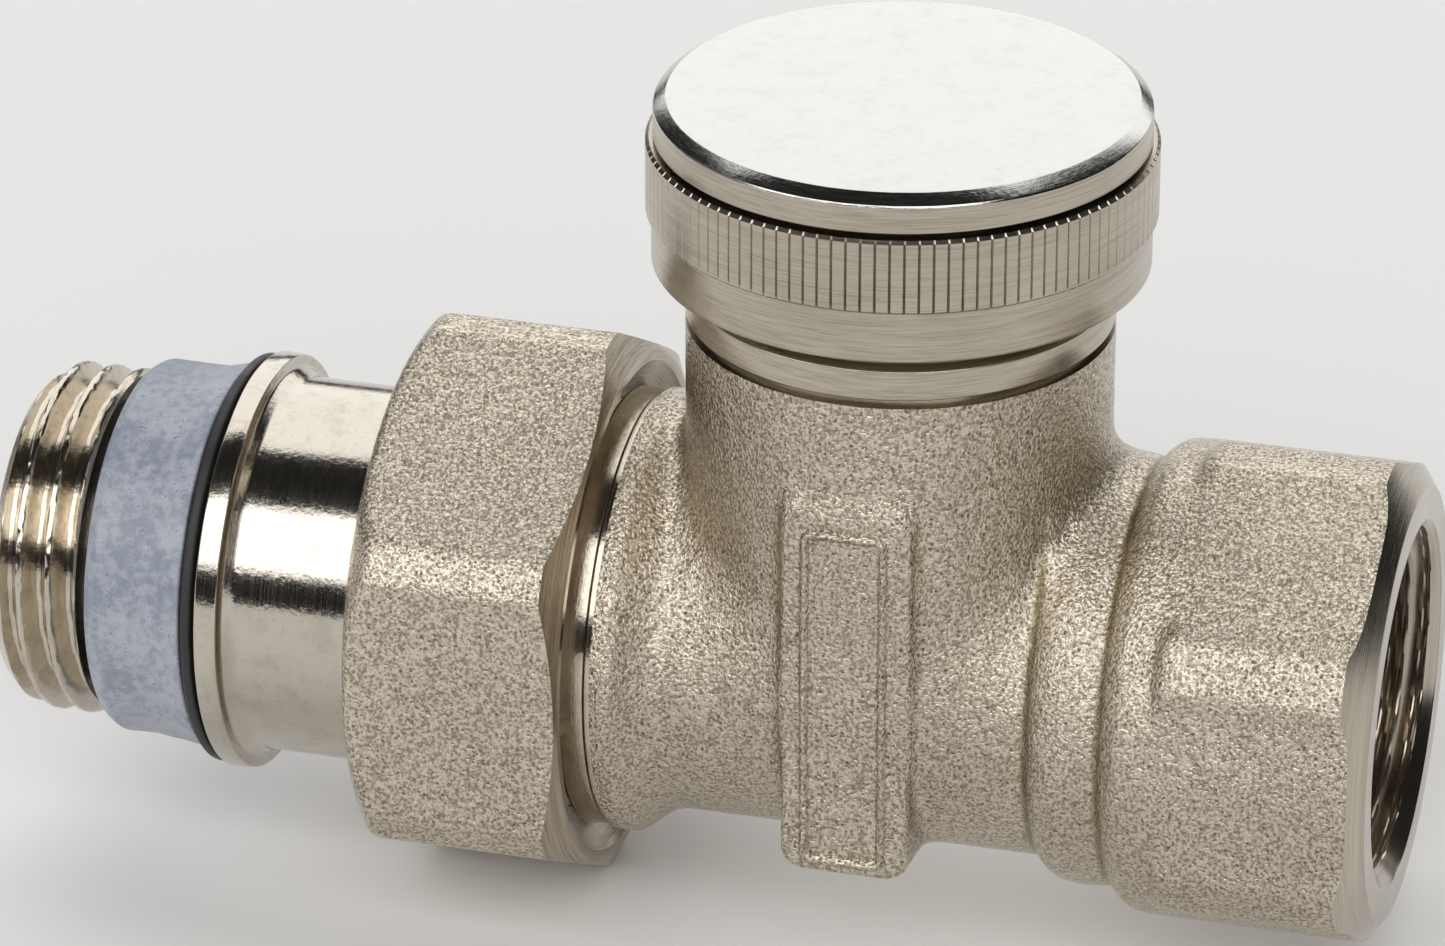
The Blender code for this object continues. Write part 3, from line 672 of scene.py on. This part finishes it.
def male_thread(radii, pitch, low, high, phase=0.0, torn=0.0):
    """shape() for an outer thread between two places. It never stands above the outline. torn is
    the depth of the nicks in its crests."""
    root, crest = radii

    def shape(radius, along, angle):
        height = root + (crest - root) * tooth(along / pitch - angle / TAU + phase)
        if torn:
            wear = np.sin(angle * 31 + along * 4) * np.sin(angle * 67 - along * 9)
            wear = wear + 0.3 * np.sin(angle * 47)
            height = height - torn * np.maximum(wear - 0.15, 0) * (height > crest - 0.2)
        on_thread = (along > low) & (along < high) & (radius > root)
        return np.where(on_thread, np.minimum(radius, height), radius)

    return shape


def female_thread(radii, pitch, low, high, phase=0.0):
    """shape() for an inner thread. It never stands inside the outline."""
    crest, root = radii

    def shape(radius, along, angle):
        height = crest + (root - crest) * tooth(along / pitch - angle / TAU + phase)
        on_thread = (along > low) & (along < high) & (radius > crest - 0.05)
        return np.where(on_thread, np.maximum(radius, height), radius)

    return shape


# ---- body


def run_profile():
    """Radius of the forged run by station, with its steps softened as forging leaves them."""
    corners = [
        (-20.0, 13.15), (-14.0, 13.15), (-12.9, 12.2), (-12.0, 11.55), (-11.2, PIPE_RADIUS),
        (10.3, PIPE_RADIUS), (10.6, 11.85), (11.05, 12.3), (11.85, 12.65), (12.85, 12.75),
        (13.95, 12.68), (14.75, 12.5), (15.05, 12.95), (15.55, 13.45), (16.1, 13.8), (17.0, 13.9),
        (40.0, 13.9),
    ]
    stations = np.arange(-20.0, 40.0, 0.05)
    radii = np.interp(stations, *zip(*corners))
    reach, width = 20, 3.6  # of the softening, in steps of the stations
    weights = np.exp(-0.5 * (np.arange(-reach, reach + 1) / width) ** 2)
    smooth = np.convolve(np.pad(radii, reach, mode="edge"), weights / weights.sum(), "valid")
    return stations, smooth, np.gradient(smooth, stations)


RUN_STATIONS, RUN_RADII, RUN_SLOPES = run_profile()


def frame_ridge(x, z):
    """Height of the raised frame line round the lug's plain panel."""
    corner, half_width, height = 0.5, 0.3, 0.3
    dx = np.abs(x + 0.05) - (LUG_PANEL[0] - corner)
    dz = np.abs(z - LUG_MIDDLE) - (LUG_PANEL[1] - corner)
    outside = np.hypot(np.maximum(dx, 0), np.maximum(dz, 0)) + np.minimum(np.maximum(dx, dz), 0)
    away = np.abs(outside - corner)
    return height * np.clip(1 - (away / half_width) ** 2, 0, 1)


def body_distance(x, y, z):
    """Distance outside the forging: run and neck, then the socket's hexagon, then the lug."""
    rho = np.sqrt(y * y + z * z)
    radius = np.interp(x, RUN_STATIONS, RUN_RADII)
    slope = np.interp(x, RUN_STATIONS, RUN_SLOPES)
    run = (rho - radius) / np.sqrt(1 + slope * slope)
    stem = np.sqrt(x * x + y * y)
    below = np.minimum(z - 3.0, 0.0)
    neck = np.sqrt(stem * stem + below * below) - NECK_RADIUS
    made = smooth_min(run, neck, 2.4)
    hexagon = smooth_max(flats(y, z, SOCKET_APOTHEM, 0.12), rho - SOCKET_CORNER, 0.14)
    hexagon = smooth_max(hexagon, HEX_START - x, 1.3)
    made = smooth_min(made, hexagon, 0.6)
    draft = 0.05 * (y + LUG_FACE)
    side = np.abs(x) - LUG_HALF - draft
    sloped = (z - LUG_HIGH - 1.1 * (y + LUG_FACE)) / 1.49
    ends = np.maximum(LUG_LOW - z - draft, sloped)
    pad = smooth_max(smooth_max(side, ends, 1.5), -LUG_FACE - y, 0.45)
    pad = np.maximum(pad, y + 2.0)
    made = smooth_min(made, pad, 0.9)
    on_face = np.clip((-y - 11.2) / 0.8, 0, 1)
    made = made - frame_ridge(x, z) * on_face
    clip = np.maximum(np.maximum(-16.0 - x, x - SOCKET_FACE - 1.0), z - SKIN_TOP - 1.2)
    return np.maximum(made, clip)


def make_body(mats):
    names = ("forged", "run", "stem", "bore", "thread", "tail_thread")
    finishes = [mats[name] for name in names]
    forged, run, stem, bore, thread, polished = range(len(names))
    axes = (
        spaced(
            [-16.6, (-11.0, 0.27), (-4.3, 0.32), (4.3, 0.15), (10.0, 0.32), (16.5, 0.2), (31.9, 0.32)]
        ),
        spaced([-16.2, (-13.4, 0.32), (-11.6, 0.15), (16.2, 0.32)]),
        spaced([-16.4, (-10.4, 0.30), (-7.2, 0.17), (11.8, 0.28), (14.6, 0.17), (23.1, 0.28)]),
    )
    points, quads = shell(body_distance, axes)
    points = roughened(points, body_distance, 0.02, 1.25, 3.1)
    body = make_object("body_forging", points, quads.tolist(), finishes, [forged] * len(quads))

    # The socket's turned face with its chamfer, and the skin's end beside the nut
    face, wide = 12.7, 40.0
    chamfer = (SOCKET_CORNER - face) / 1.5
    outline = [
        (0.0, SHOULDER), (wide, SHOULDER), (wide, SOCKET_FACE - (wide - face) / chamfer),
        (face, SOCKET_FACE, 0.2), (0.0, SOCKET_FACE),
    ]
    carve(body, "trim", outline, "X", finishes, 288, "INTERSECT", slot=run)
    outline = [(11.0, wide), (30.0, wide), (30.0, SKIN_TOP), (11.0, SKIN_TOP - 0.05)]
    carve(body, "above", outline, "Z", finishes, FINEST, closed=True, slot=stem)

    # The neck's turned ring between two grooves, and the cap's thread
    core, groove, relief = 9.8, 11.4, 11.3
    ring_low, ring_high = 21.55, 23.4
    low, high = NECK_TOP - 4.6, NECK_TOP
    crest = CAP_MALE[1]
    outline = [
        (0.0, 15.0), (core, 15.0), (core, 20.0), (groove, 20.0), (groove, ring_low, 0.1),
        (NECK_RADIUS, ring_low, 0.15), (NECK_RADIUS, ring_high, 0.12), (relief, ring_high, 0.2),
        (relief, low, 0.2), (crest, low + 0.2), (crest, high - 0.8), (10.85, high), (0.0, high),
    ]
    carve(
        body, "neck", outline, "Z", finishes, FINEST, "UNION",
        shape=male_thread(CAP_MALE, CAP_PITCH, low + 0.1, high + 0.1),
        fine=[(low, high, 0.1)], slot=stem,
    )

    # The stub under the nut: the polished shoulder ring, a relief and the union's thread
    crest = UNION_MALE[1]
    outline = [
        (0.0, SHOULDER + 3.0), (10.4, SHOULDER + 3.0), (10.4, SHOULDER + 0.2),
        (13.0, SHOULDER + 0.2), (13.0, SHOULDER - 0.35, 0.1), (12.88, SHOULDER - 0.45, 0.1),
        (13.05, NUT_MOUTH - 0.8, 0.25), (11.5, NUT_MOUTH - 0.85, 0.2), (11.4, NUT_MOUTH - 1.4),
        (crest, NUT_MOUTH - 2.1), (crest, STUB_END + 1.0), (11.5, STUB_END), (0.0, STUB_END),
    ]
    carve(
        body, "stub", outline, "X", finishes, FINEST, "UNION",
        shape=male_thread(UNION_MALE, PIPE_PITCH, STUB_END - 0.1, NUT_MOUTH - 1.5),
        fine=[(STUB_END, NUT_MOUTH - 1.4, 0.12)],
        slot=lambda radius, along: polished if along > NUT_MOUTH - 0.9 else run,
    )

    floor = SOCKET_FACE - 13.0
    crest = SOCKET_FEMALE[0]
    outline = [
        (0.0, SOCKET_FACE + CLEAR), (11.0, SOCKET_FACE + CLEAR), (10.75, SOCKET_FACE, 0.2),
        (crest, SOCKET_FACE - 1.45), (crest, floor + 0.6), (9.0, floor),
        (6.1, floor - 2.0), (0.0, floor - 2.0),
    ]
    carve(
        body, "socket", outline, "X", finishes, FINEST,
        shape=female_thread(SOCKET_FEMALE, PIPE_PITCH, floor + 0.6, SOCKET_FACE + 0.5, 0.3),
        fine=[(floor + 0.6, SOCKET_FACE, 0.11)],
        slot=lambda radius, along: run if along > SOCKET_FACE - 1.4 else thread,
    )

    # The spigot's bore, then the neck's with the seat under it, then the two leaning ways
    bored, mouth = 9.3, 9.8
    outline = [
        (0.0, SPIGOT_END + 2.0), (5.2, SPIGOT_END + 2.0), (bored, SPIGOT_END + 0.3),
        (bored, STUB_END + 0.4), (mouth, STUB_END - 0.1), (mouth, STUB_END - CLEAR),
        (0.0, STUB_END - CLEAR),
    ]
    carve(body, "inlet", outline, "X", finishes, FINE, slot=run)
    seat, ledge, chamber, way = 1.5, 10.0, 8.4, 5.25
    outline = [
        (0.0, NECK_TOP + CLEAR), (9.7, NECK_TOP + CLEAR), (9.7, NECK_TOP), (bored, NECK_TOP - 0.4),
        (bored, ledge), (chamber, ledge), (chamber, seat), (5.6, seat), (way, seat - 0.35),
        (way, -6.75), (0.0, -7.2),
    ]
    carve(body, "stack", outline, "Z", finishes, FINE, slot=stem)
    rising = leaning_bar("rising", 5.2, (SPIGOT_END + 0.5, 0.0), (-6.4, 6.2), finishes, bore)
    combine(body, rising, "DIFFERENCE")
    falling = leaning_bar("falling", 4.6, (floor - 0.5, 0.0), (0.5, -4.8), finishes, bore)
    combine(body, falling, "DIFFERENCE")
    settle(body, "body", "valve_body", sharp=38.0)


# ---- union


def nut_distance(x, y, z):
    """Distance outside the forging: a hexagon with turned corners and a coned back."""
    rho = np.sqrt(y * y + z * z)
    made = smooth_max(flats(y, z, NUT_APOTHEM, 0.12), rho - NUT_CORNER, 0.14)
    cone = (rho - NUT_RIM - 1.25 * (x - NUT_BACK)) / 1.6
    made = smooth_max(smooth_max(made, cone, 0.5), NUT_BACK - x, 0.9)
    return np.maximum(made, x - NUT_FRONT - 0.8)


def make_nut(mats):
    finishes = [mats["nut"], mats["run"], mats["chamfer"]]
    forged, run, chamfer = range(3)
    axes = (
        spaced([NUT_BACK - 0.6, (NUT_BACK + 3.0, 0.2), (NUT_FRONT + 1.2, 0.28)]),
        spaced([-18.0, (18.0, 0.28)]),
        spaced([-18.0, (18.0, 0.28)]),
    )
    points, quads = shell(nut_distance, axes)
    points = roughened(points, nut_distance, 0.02, 1.3, 7.7)
    nut = make_object("nut_forging", points, quads.tolist(), finishes, [forged] * len(quads))

    wide = 30.0
    slope = (NUT_CORNER - NUT_RIM) / 0.95
    outline = [
        (0.0, NUT_BACK - CLEAR), (wide, NUT_BACK - CLEAR),
        (wide, NUT_MOUTH - (wide - NUT_RIM) / slope), (NUT_RIM, NUT_MOUTH, 0.2), (0.0, NUT_MOUTH),
    ]
    carve(nut, "trim", outline, "X", finishes, 288, "INTERSECT", slot=chamfer)

    # From the front: countersink, thread, the room for the snap ring, and the hole in the back
    crest, room, bored, mouth = UNION_FEMALE[0], 12.72, 11.5, 11.9
    outline = [
        (0.0, NUT_MOUTH + CLEAR), (15.5, NUT_MOUTH + CLEAR), (14.6, NUT_MOUTH, 0.12),
        (12.6, NUT_MOUTH - 1.7), (crest, NUT_MOUTH - 2.0), (crest, STUB_END - 0.4),
        (room, STUB_END - 1.0), (room, NUT_BACK + 3.0), (bored, NUT_BACK + 3.0),
        (bored, NUT_BACK + 0.4), (mouth, NUT_BACK - 0.1), (mouth, NUT_BACK - CLEAR),
        (0.0, NUT_BACK - CLEAR),
    ]
    carve(
        nut, "hole", outline, "X", finishes, FINEST,
        shape=female_thread(UNION_FEMALE, PIPE_PITCH, STUB_END - 1.0, NUT_MOUTH - 1.8),
        fine=[(STUB_END - 1.0, NUT_MOUTH - 1.9, 0.12)],
        slot=lambda radius, along: chamfer if along > NUT_MOUTH - 2.0 else run,
    )
    settle(nut, "nut", "union_nut", sharp=38.0)


def make_tail(mats):
    """The tailpiece and the rings it carries."""
    finishes = [mats["tail"], mats["tail_thread"], mats["run"]]
    polished, thread, run = range(3)
    thread_end = SEAL_BACK - 0.3
    collar_front, collar_back = NUT_BACK - 8.4, BACKING_FRONT + 0.3
    step = STUB_END - 0.3
    groove_front, groove_back = SNAP_FRONT + 0.3, SNAP_BACK - 0.3
    middle = (step + SPIGOT_END) / 2
    spigot, neck, bead, core = 9.0, 11.2, 12.5, 9.3
    crest = TAIL_MALE[1]
    outline = [(6.5, SPIGOT_END, 0.1), (8.2, SPIGOT_END, 0.3), (spigot, SPIGOT_END - 0.8, 0.3)]
    outline += ring_groove(spigot, 7.65, middle, 0.9, 0.1)
    outline += [
        (spigot, step, 0.2), (neck, step, 0.2), (neck, groove_front, 0.08),
        (10.3, groove_front, 0.1), (10.3, groove_back, 0.1), (neck, groove_back, 0.08),
        (neck, collar_front + 0.75, 0.9), (11.75, collar_front, 0.35), (12.42, collar_front, 0.14),
        (12.48, collar_front - 0.5, 0.2), (bead, collar_back, 0.12), (9.0, collar_back),
        (9.0, SEAL_BACK + 0.5), (8.5, SEAL_BACK + 0.4), (8.5, thread_end - 0.3),
        (10.2, thread_end - 0.4), (crest, thread_end - 0.7), (crest, TAIL_END + 1.25),
        (9.35, TAIL_END, 0.12), (7.7, TAIL_END, 0.1), (7.0, TAIL_END + 0.6), (6.5, TAIL_END + 1.1),
    ]
    phase = 51.7 / PIPE_PITCH + 0.5  # puts the first crest where the photograph shows it
    shape = male_thread(TAIL_MALE, PIPE_PITCH, TAIL_END - 0.1, thread_end - 0.35, phase, torn=0.08)

    def finish_at(radius, along):
        return polished if along > BACKING_BACK or radius < 9.5 else thread

    fine = [(TAIL_END, thread_end - 0.2, 0.085), (collar_front, collar_front + 2, 0.1)]
    tail = lathe("tail_turning", outline, "X", finishes, 224, shape=shape, fine=fine, slot=finish_at)
    key = prism("key", 13.2, TAIL_END - CLEAR, TAIL_END + 15.0, "X", finishes, slot=run)
    combine(tail, key, "DIFFERENCE")
    settle(tail, "tail", "tailpiece")

    outline = [
        (core, SEAL_FRONT), (11.75, SEAL_FRONT, 0.15), (11.55, SEAL_FRONT - 0.7),
        (11.3, SEAL_FRONT - 2.0), (11.2, SEAL_FRONT - 3.6), (11.22, SEAL_BACK + 1.5),
        (11.25, SEAL_BACK + 0.7, 0.5), (10.75, SEAL_BACK, 0.4), (core, SEAL_BACK),
    ]

    def soft(radius, along, angle):
        wave = 0.035 * np.sin(3 * angle + along) + 0.02 * np.sin(7 * angle - 2 * along)
        return np.where(radius > 10.5, radius + wave, radius)

    fine = [(SEAL_BACK, SEAL_FRONT, 0.4)]
    seal = lathe("thread_seal", outline, "X", [mats["seal"]], 160, shape=soft, fine=fine)
    settle(seal, "tail", "thread_seal_ring")
    edge = 12.3
    outline = [
        (core, BACKING_FRONT), (edge, BACKING_FRONT, 0.2), (edge, BACKING_BACK, 0.2),
        (core, BACKING_BACK),
    ]
    backing = lathe("backing_washer", outline, "X", [mats["rubber"]], 160)
    settle(backing, "tail", "seal_backing_ring")
    low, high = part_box("spigot_o_ring")
    outer = (high.z - low.z) / 2 / MM
    section = (high.x - low.x) / MM
    ring = torus("spigot_ring", outer - section, section, middle, "X", [mats["rubber"]])
    settle(ring, "tail", "spigot_o_ring")
    inner, outer = 10.6, 12.35
    outline = [
        (inner, SNAP_FRONT, 0.1), (outer, SNAP_FRONT, 0.2), (outer, SNAP_BACK, 0.2),
        (inner, SNAP_BACK, 0.1),
    ]
    finishes = [mats["steel"]]
    snap = lathe("snap_ring", outline, "X", finishes, 144)
    slit = block("slit", (SNAP_BACK - CLEAR, -1.0, -15.0), (SNAP_FRONT + CLEAR, 1.0, -8.0), finishes)
    combine(snap, slit, "DIFFERENCE")
    settle(snap, "tail", "nut_snap_ring")


# ---- cap and what it hides


def make_cap(mats):
    finishes = [mats["cap"], mats["crown"], mats["stem"]]
    turned, crown, inside = range(3)
    skirt, knurl, rim = 14.3, 14.62, 14.2
    groove, bored, crest = rim - 1.0, 11.95, CAP_FEMALE[0]
    band_low, band_high = CAP_BASE + 3.1, CAP_BASE + 7.6
    ceiling = CAP_TOP - 2.0
    outline = [
        (0.0, CAP_TOP), (6.0, CAP_TOP), (rim - 0.76, CAP_TOP - 0.01, 0.12),
        (rim - 0.05, CAP_TOP - 0.55, 0.08), (rim, CAP_TOP - 0.67, 0.1),
        (rim, band_high + 0.29, 0.04), (groove, band_high + 0.27, 0.04),
        (groove, band_high + 0.02, 0.05), (knurl - 0.2, band_high), (knurl, band_high - 0.18),
        (knurl, band_low + 0.2), (knurl - 0.22, band_low), (skirt, band_low - 0.03, 0.03),
        (skirt, CAP_BASE, 0.25), (12.3, CAP_BASE, 0.15), (11.75, CAP_BASE + 0.6),
        (crest, CAP_BASE + 1.3), (crest, NECK_TOP), (bored, NECK_TOP + 0.5),
        (bored, ceiling, 0.3), (0.0, ceiling),
    ]
    inner = female_thread(CAP_FEMALE, CAP_PITCH, CAP_BASE + 0.3, NECK_TOP + 0.3)
    cut_half, cut_slope, cut_depth = 0.01, 0.095, 0.13  # of one knurl; the depth in mm

    def shape(radius, along, angle):
        radius = np.where(radius < 12.0, inner(radius, along, angle), radius)
        wave = (angle / TAU * KNURLS) % 1.0
        cut = np.abs(wave - 0.5) < cut_half
        on_band = (along > band_low + 0.005) & (along < band_high - 0.005) & (radius > rim)
        return np.where(on_band, radius - cut_depth * cut, radius)

    def finish_at(radius, along):
        if along > CAP_TOP - 0.95:
            return crown
        return turned if radius > 12.2 else inside

    shares = np.array([0.0, 0.5 - cut_slope, 0.5, 0.5 + cut_slope])
    turns = (np.arange(KNURLS)[:, None] + shares).ravel() / KNURLS * TAU
    cap = lathe(
        "cap_knurled", outline, "Z", finishes, turns, closed=False, shape=shape,
        fine=[(CAP_BASE + 0.6, NECK_TOP + 0.5, 0.14)], slot=finish_at,
    )
    settle(cap, "cap", "cap", sharp=32.0)
    hole, edge = 7.0, 11.65
    outline = [
        (hole, GASKET_TOP, 0.1), (edge, GASKET_TOP, 0.1), (edge, GASKET_BASE, 0.1),
        (hole, GASKET_BASE, 0.1),
    ]
    gasket = lathe("cap_washer", outline, "Z", [mats["rubber"]], FINE)
    settle(gasket, "cap_lift", "cap_gasket")


def ring_box(node):
    """(outer radius, lowest, highest) of a round CAD node on the spindle."""
    low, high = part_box(node)
    return (high.y - low.y) / 2 / MM, low.z / MM, high.z / MM


def make_bonnet(mats):
    finishes = [mats["brass"]]
    bore, outer = 6.3, 9.0
    head = NECK_TOP + 0.3
    groove = 13.9
    outline = [(bore, head + 1.5), (outer, head + 1.5), *ring_groove(outer, 7.75, groove, 0.85, 0.08)]
    outline += [(outer, BONNET_BASE, 0.3), (bore, BONNET_BASE, 0.2)]
    bonnet = lathe("bonnet_turning", outline, "Z", finishes, FINE)
    hexagon = prism("head", 19.0, head, BONNET_TOP, "Z", finishes)
    outline = [
        (0.0, BONNET_TOP), (9.3, BONNET_TOP, 0.1), (11.0, BONNET_TOP - 0.8), (11.0, head),
        (0.0, head),
    ]
    carve(hexagon, "envelope", outline, "Z", finishes, FINE, "INTERSECT")
    combine(bonnet, hexagon, "UNION")
    outline = [
        (0.0, BONNET_TOP + CLEAR), (6.8, BONNET_TOP + CLEAR), (6.8, BONNET_TOP),
        (bore, BONNET_TOP - 0.5), (bore, head - 0.5), (0.0, head - 0.5),
    ]
    carve(bonnet, "clear", outline, "Z", finishes, FINE)
    low, high = CLIP_BASE - 0.3, CLIP_TOP + 0.3
    outline = [(5.8, high), (7.1, high), (7.1, low), (5.8, low)]
    carve(bonnet, "clip_slot", outline, "Z", finishes, FINE, closed=True)
    settle(bonnet, "body", "bonnet")
    outline = [(5.4, CLIP_TOP), (6.8, CLIP_TOP, 0.1), (6.8, CLIP_BASE, 0.1), (5.4, CLIP_BASE)]
    clip = lathe("retaining_ring", outline, "Z", [mats["screw"]])
    settle(clip, "body", "spindle_retaining_ring")
    for name, node_name, body in (
        ("bonnet_ring", "bonnet_o_ring", "body"),
        ("spindle_ring_upper", "spindle_o_ring_upper", "spindle"),
        ("spindle_ring_lower", "spindle_o_ring_lower", "spindle"),
        ("preset_ring", "preset_o_ring", "preset"),
    ):
        outer, low, high = ring_box(node_name)
        section = high - low
        ring = torus(name, outer - section, section, (low + high) / 2, "Z", [mats["rubber"]])
        settle(ring, body, node_name)


def make_spindle(mats):
    """The hollow spindle, the seal and ring under its flange, and the presetting inside it."""
    finishes = [mats["brass"]]
    shoulder = NECK_TOP + 0.2
    bore, neck, outer, flange = 2.6, 5.0, 6.0, 7.4
    outline = [(bore, SPINDLE_TOP), (neck, SPINDLE_TOP, 0.25), (neck, shoulder, 0.1)]
    outline += [(outer, shoulder, 0.15)]
    for node_name in ("spindle_o_ring_upper", "spindle_o_ring_lower"):
        _, low, high = ring_box(node_name)
        outline += ring_groove(outer, 4.75, (low + high) / 2, 0.85, 0.08)
    outline += [
        (outer, SPINDLE_BASE + 1.5, 0.2), (flange, SPINDLE_BASE + 1.5, 0.15),
        (flange, SPINDLE_BASE, 0.1), (bore, SPINDLE_BASE),
    ]
    spindle = lathe("spindle_turning", outline, "Z", finishes, FINE)
    key = prism("key", 6.0, SPINDLE_TOP - 5.5, SPINDLE_TOP + CLEAR, "Z", finishes)
    combine(spindle, key, "DIFFERENCE")
    settle(spindle, "spindle", "shutoff_spindle")

    outline = [(3.7, SEAL_HIGH), (6.85, SEAL_HIGH, 0.15), (6.85, SEAL_LOW, 0.25), (3.7, SEAL_LOW)]
    washer = lathe("seat_washer", outline, "Z", [mats["rubber"]])
    settle(washer, "plug", "seat_seal")
    outline = [
        (bore, RETAINER_HIGH), (3.4, RETAINER_HIGH, 0.1), (3.4, RETAINER_LOW + 1.5),
        (4.6, RETAINER_LOW + 1.5, 0.1), (4.6, RETAINER_LOW, 0.15), (bore, RETAINER_LOW),
    ]
    settle(lathe("retainer", outline, "Z", finishes), "plug", "seal_retainer")

    _, low, high = ring_box("preset_o_ring")
    middle = (low + high) / 2
    stem = 2.3
    outline = [
        (0.0, PRESET_TOP), (stem, PRESET_TOP, 0.2), (stem, middle + 0.6), (1.6, middle + 0.6),
        (1.6, middle - 0.6), (stem, middle - 0.6), (stem, PRESET_BASE, 0.2), (0.0, PRESET_BASE),
    ]
    steel = [mats["screw"]]
    screw = lathe("preset_turning", outline, "Z", steel, 72, closed=False)
    slot = block("slot", (-3.5, -0.4, PRESET_TOP - 1.2), (3.5, 0.4, PRESET_TOP + CLEAR), steel)
    combine(screw, slot, "DIFFERENCE")
    settle(screw, "preset", "preset_screw")
    top = THROTTLE_BASE + 2.5
    outline = [
        (0.0, THROTTLE_STEM), (stem, THROTTLE_STEM, 0.15), (stem, top, 0.2), (4.6, top, 0.1),
        (4.6, top - 0.6, 0.2), (3.2, THROTTLE_BASE, 0.2), (0.0, THROTTLE_BASE),
    ]
    cone = lathe("throttle", outline, "Z", finishes, closed=False)
    settle(cone, "throttle", "throttle_cone")


# ---- studio


def make_floor():
    mesh = bpy.data.meshes.new("floor")
    side, height = 3.0, cad_bounds[0][2] - 0.00005
    corners = [(-side, -side), (side, -side), (side, side), (-side, side)]
    mesh.from_pydata([(*corner, height) for corner in corners], [], [(0, 1, 2, 3)])
    floor = bpy.data.objects.new("floor", mesh)
    bpy.context.scene.collection.objects.link(floor)
    made, tree, shader, place = start_material("pale_floor")
    tone = grain(tree, place, 3.0, 1.0)
    color = blend_colors(tree, tone, FLOOR_DARK, FLOOR_LIGHT)
    finish(tree, shader, color, metallic=0.0, Roughness=0.9, Specular_IOR_Level=0.1)
    mesh.materials.append(made)


def make_world():
    """A studio as a pattern of direction: soft boxes before, above and behind, and dark gaps."""
    world = bpy.data.worlds.new("studio")
    bpy.context.scene.world = world
    world.use_nodes = True
    tree = world.node_tree
    place = node(tree, "ShaderNodeTexCoord").outputs["Generated"]
    parts = node(tree, "ShaderNodeSeparateXYZ", {0: place}).outputs
    front = calc(tree, "MULTIPLY", parts[1], -1.0)
    turn = calc(tree, "ARCTAN2", parts[2], front)  # from level in front, up and over

    def band(value, low, high, soft):
        return calc(
            tree, "MULTIPLY",
            remap(tree, value, low - soft, low + soft),
            remap(tree, value, high - soft, high + soft, 1.0, 0.0),
        )

    def degrees(low, high, soft):
        return band(turn, math.radians(low), math.radians(high), math.radians(soft))

    front_box = calc(tree, "MULTIPLY", degrees(20, 60, 3), band(parts[0], -0.80, 0.72, 0.08))
    back_box = calc(tree, "MULTIPLY", degrees(98, 172, 3), band(parts[0], -0.66, 0.46, 0.06))
    far_left = remap(tree, parts[0], -0.80, -0.90)
    left_box = calc(tree, "MULTIPLY", far_left, band(parts[2], 0.02, 0.42, 0.05))
    total = calc(tree, "MULTIPLY_ADD", front_box, FRONT_LIGHT, GAP_LIGHT)
    total = calc(tree, "MULTIPLY_ADD", back_box, BACK_LIGHT, total)
    total = calc(tree, "MULTIPLY_ADD", left_box, LEFT_LIGHT, total)
    color = node(tree, "ShaderNodeCombineColor", {0: total, 1: total, 2: total}).outputs[0]
    background = tree.nodes["Background"]
    tree.links.new(color, background.inputs["Color"])


def make_camera():
    azimuth, elevation, distance = math.radians(15.33), math.radians(26.65), 0.4344
    aim = AXES_CROSS + Vector((-0.0106, 0.0, 0.0095))
    level = math.cos(elevation)
    away = Vector((math.sin(azimuth) * level, -math.cos(azimuth) * level, math.sin(elevation)))
    data = bpy.data.cameras.new("camera")
    data.sensor_width = 36.0
    data.lens = 185.4
    data.clip_start, data.clip_end = 0.01, 20.0
    camera = bpy.data.objects.new("camera", data)
    bpy.context.scene.collection.objects.link(camera)
    camera.location = aim + away * distance
    camera.rotation_euler = away.to_track_quat("Z", "Y").to_euler()
    bpy.context.scene.camera = camera


def main():
    bpy.context.scene.view_settings.view_transform = "Standard"
    make_camera()
    make_floor()
    make_world()
    mats = make_materials()
    for make in (make_body, make_nut, make_tail, make_cap, make_bonnet, make_spindle):
        make(mats)


main()
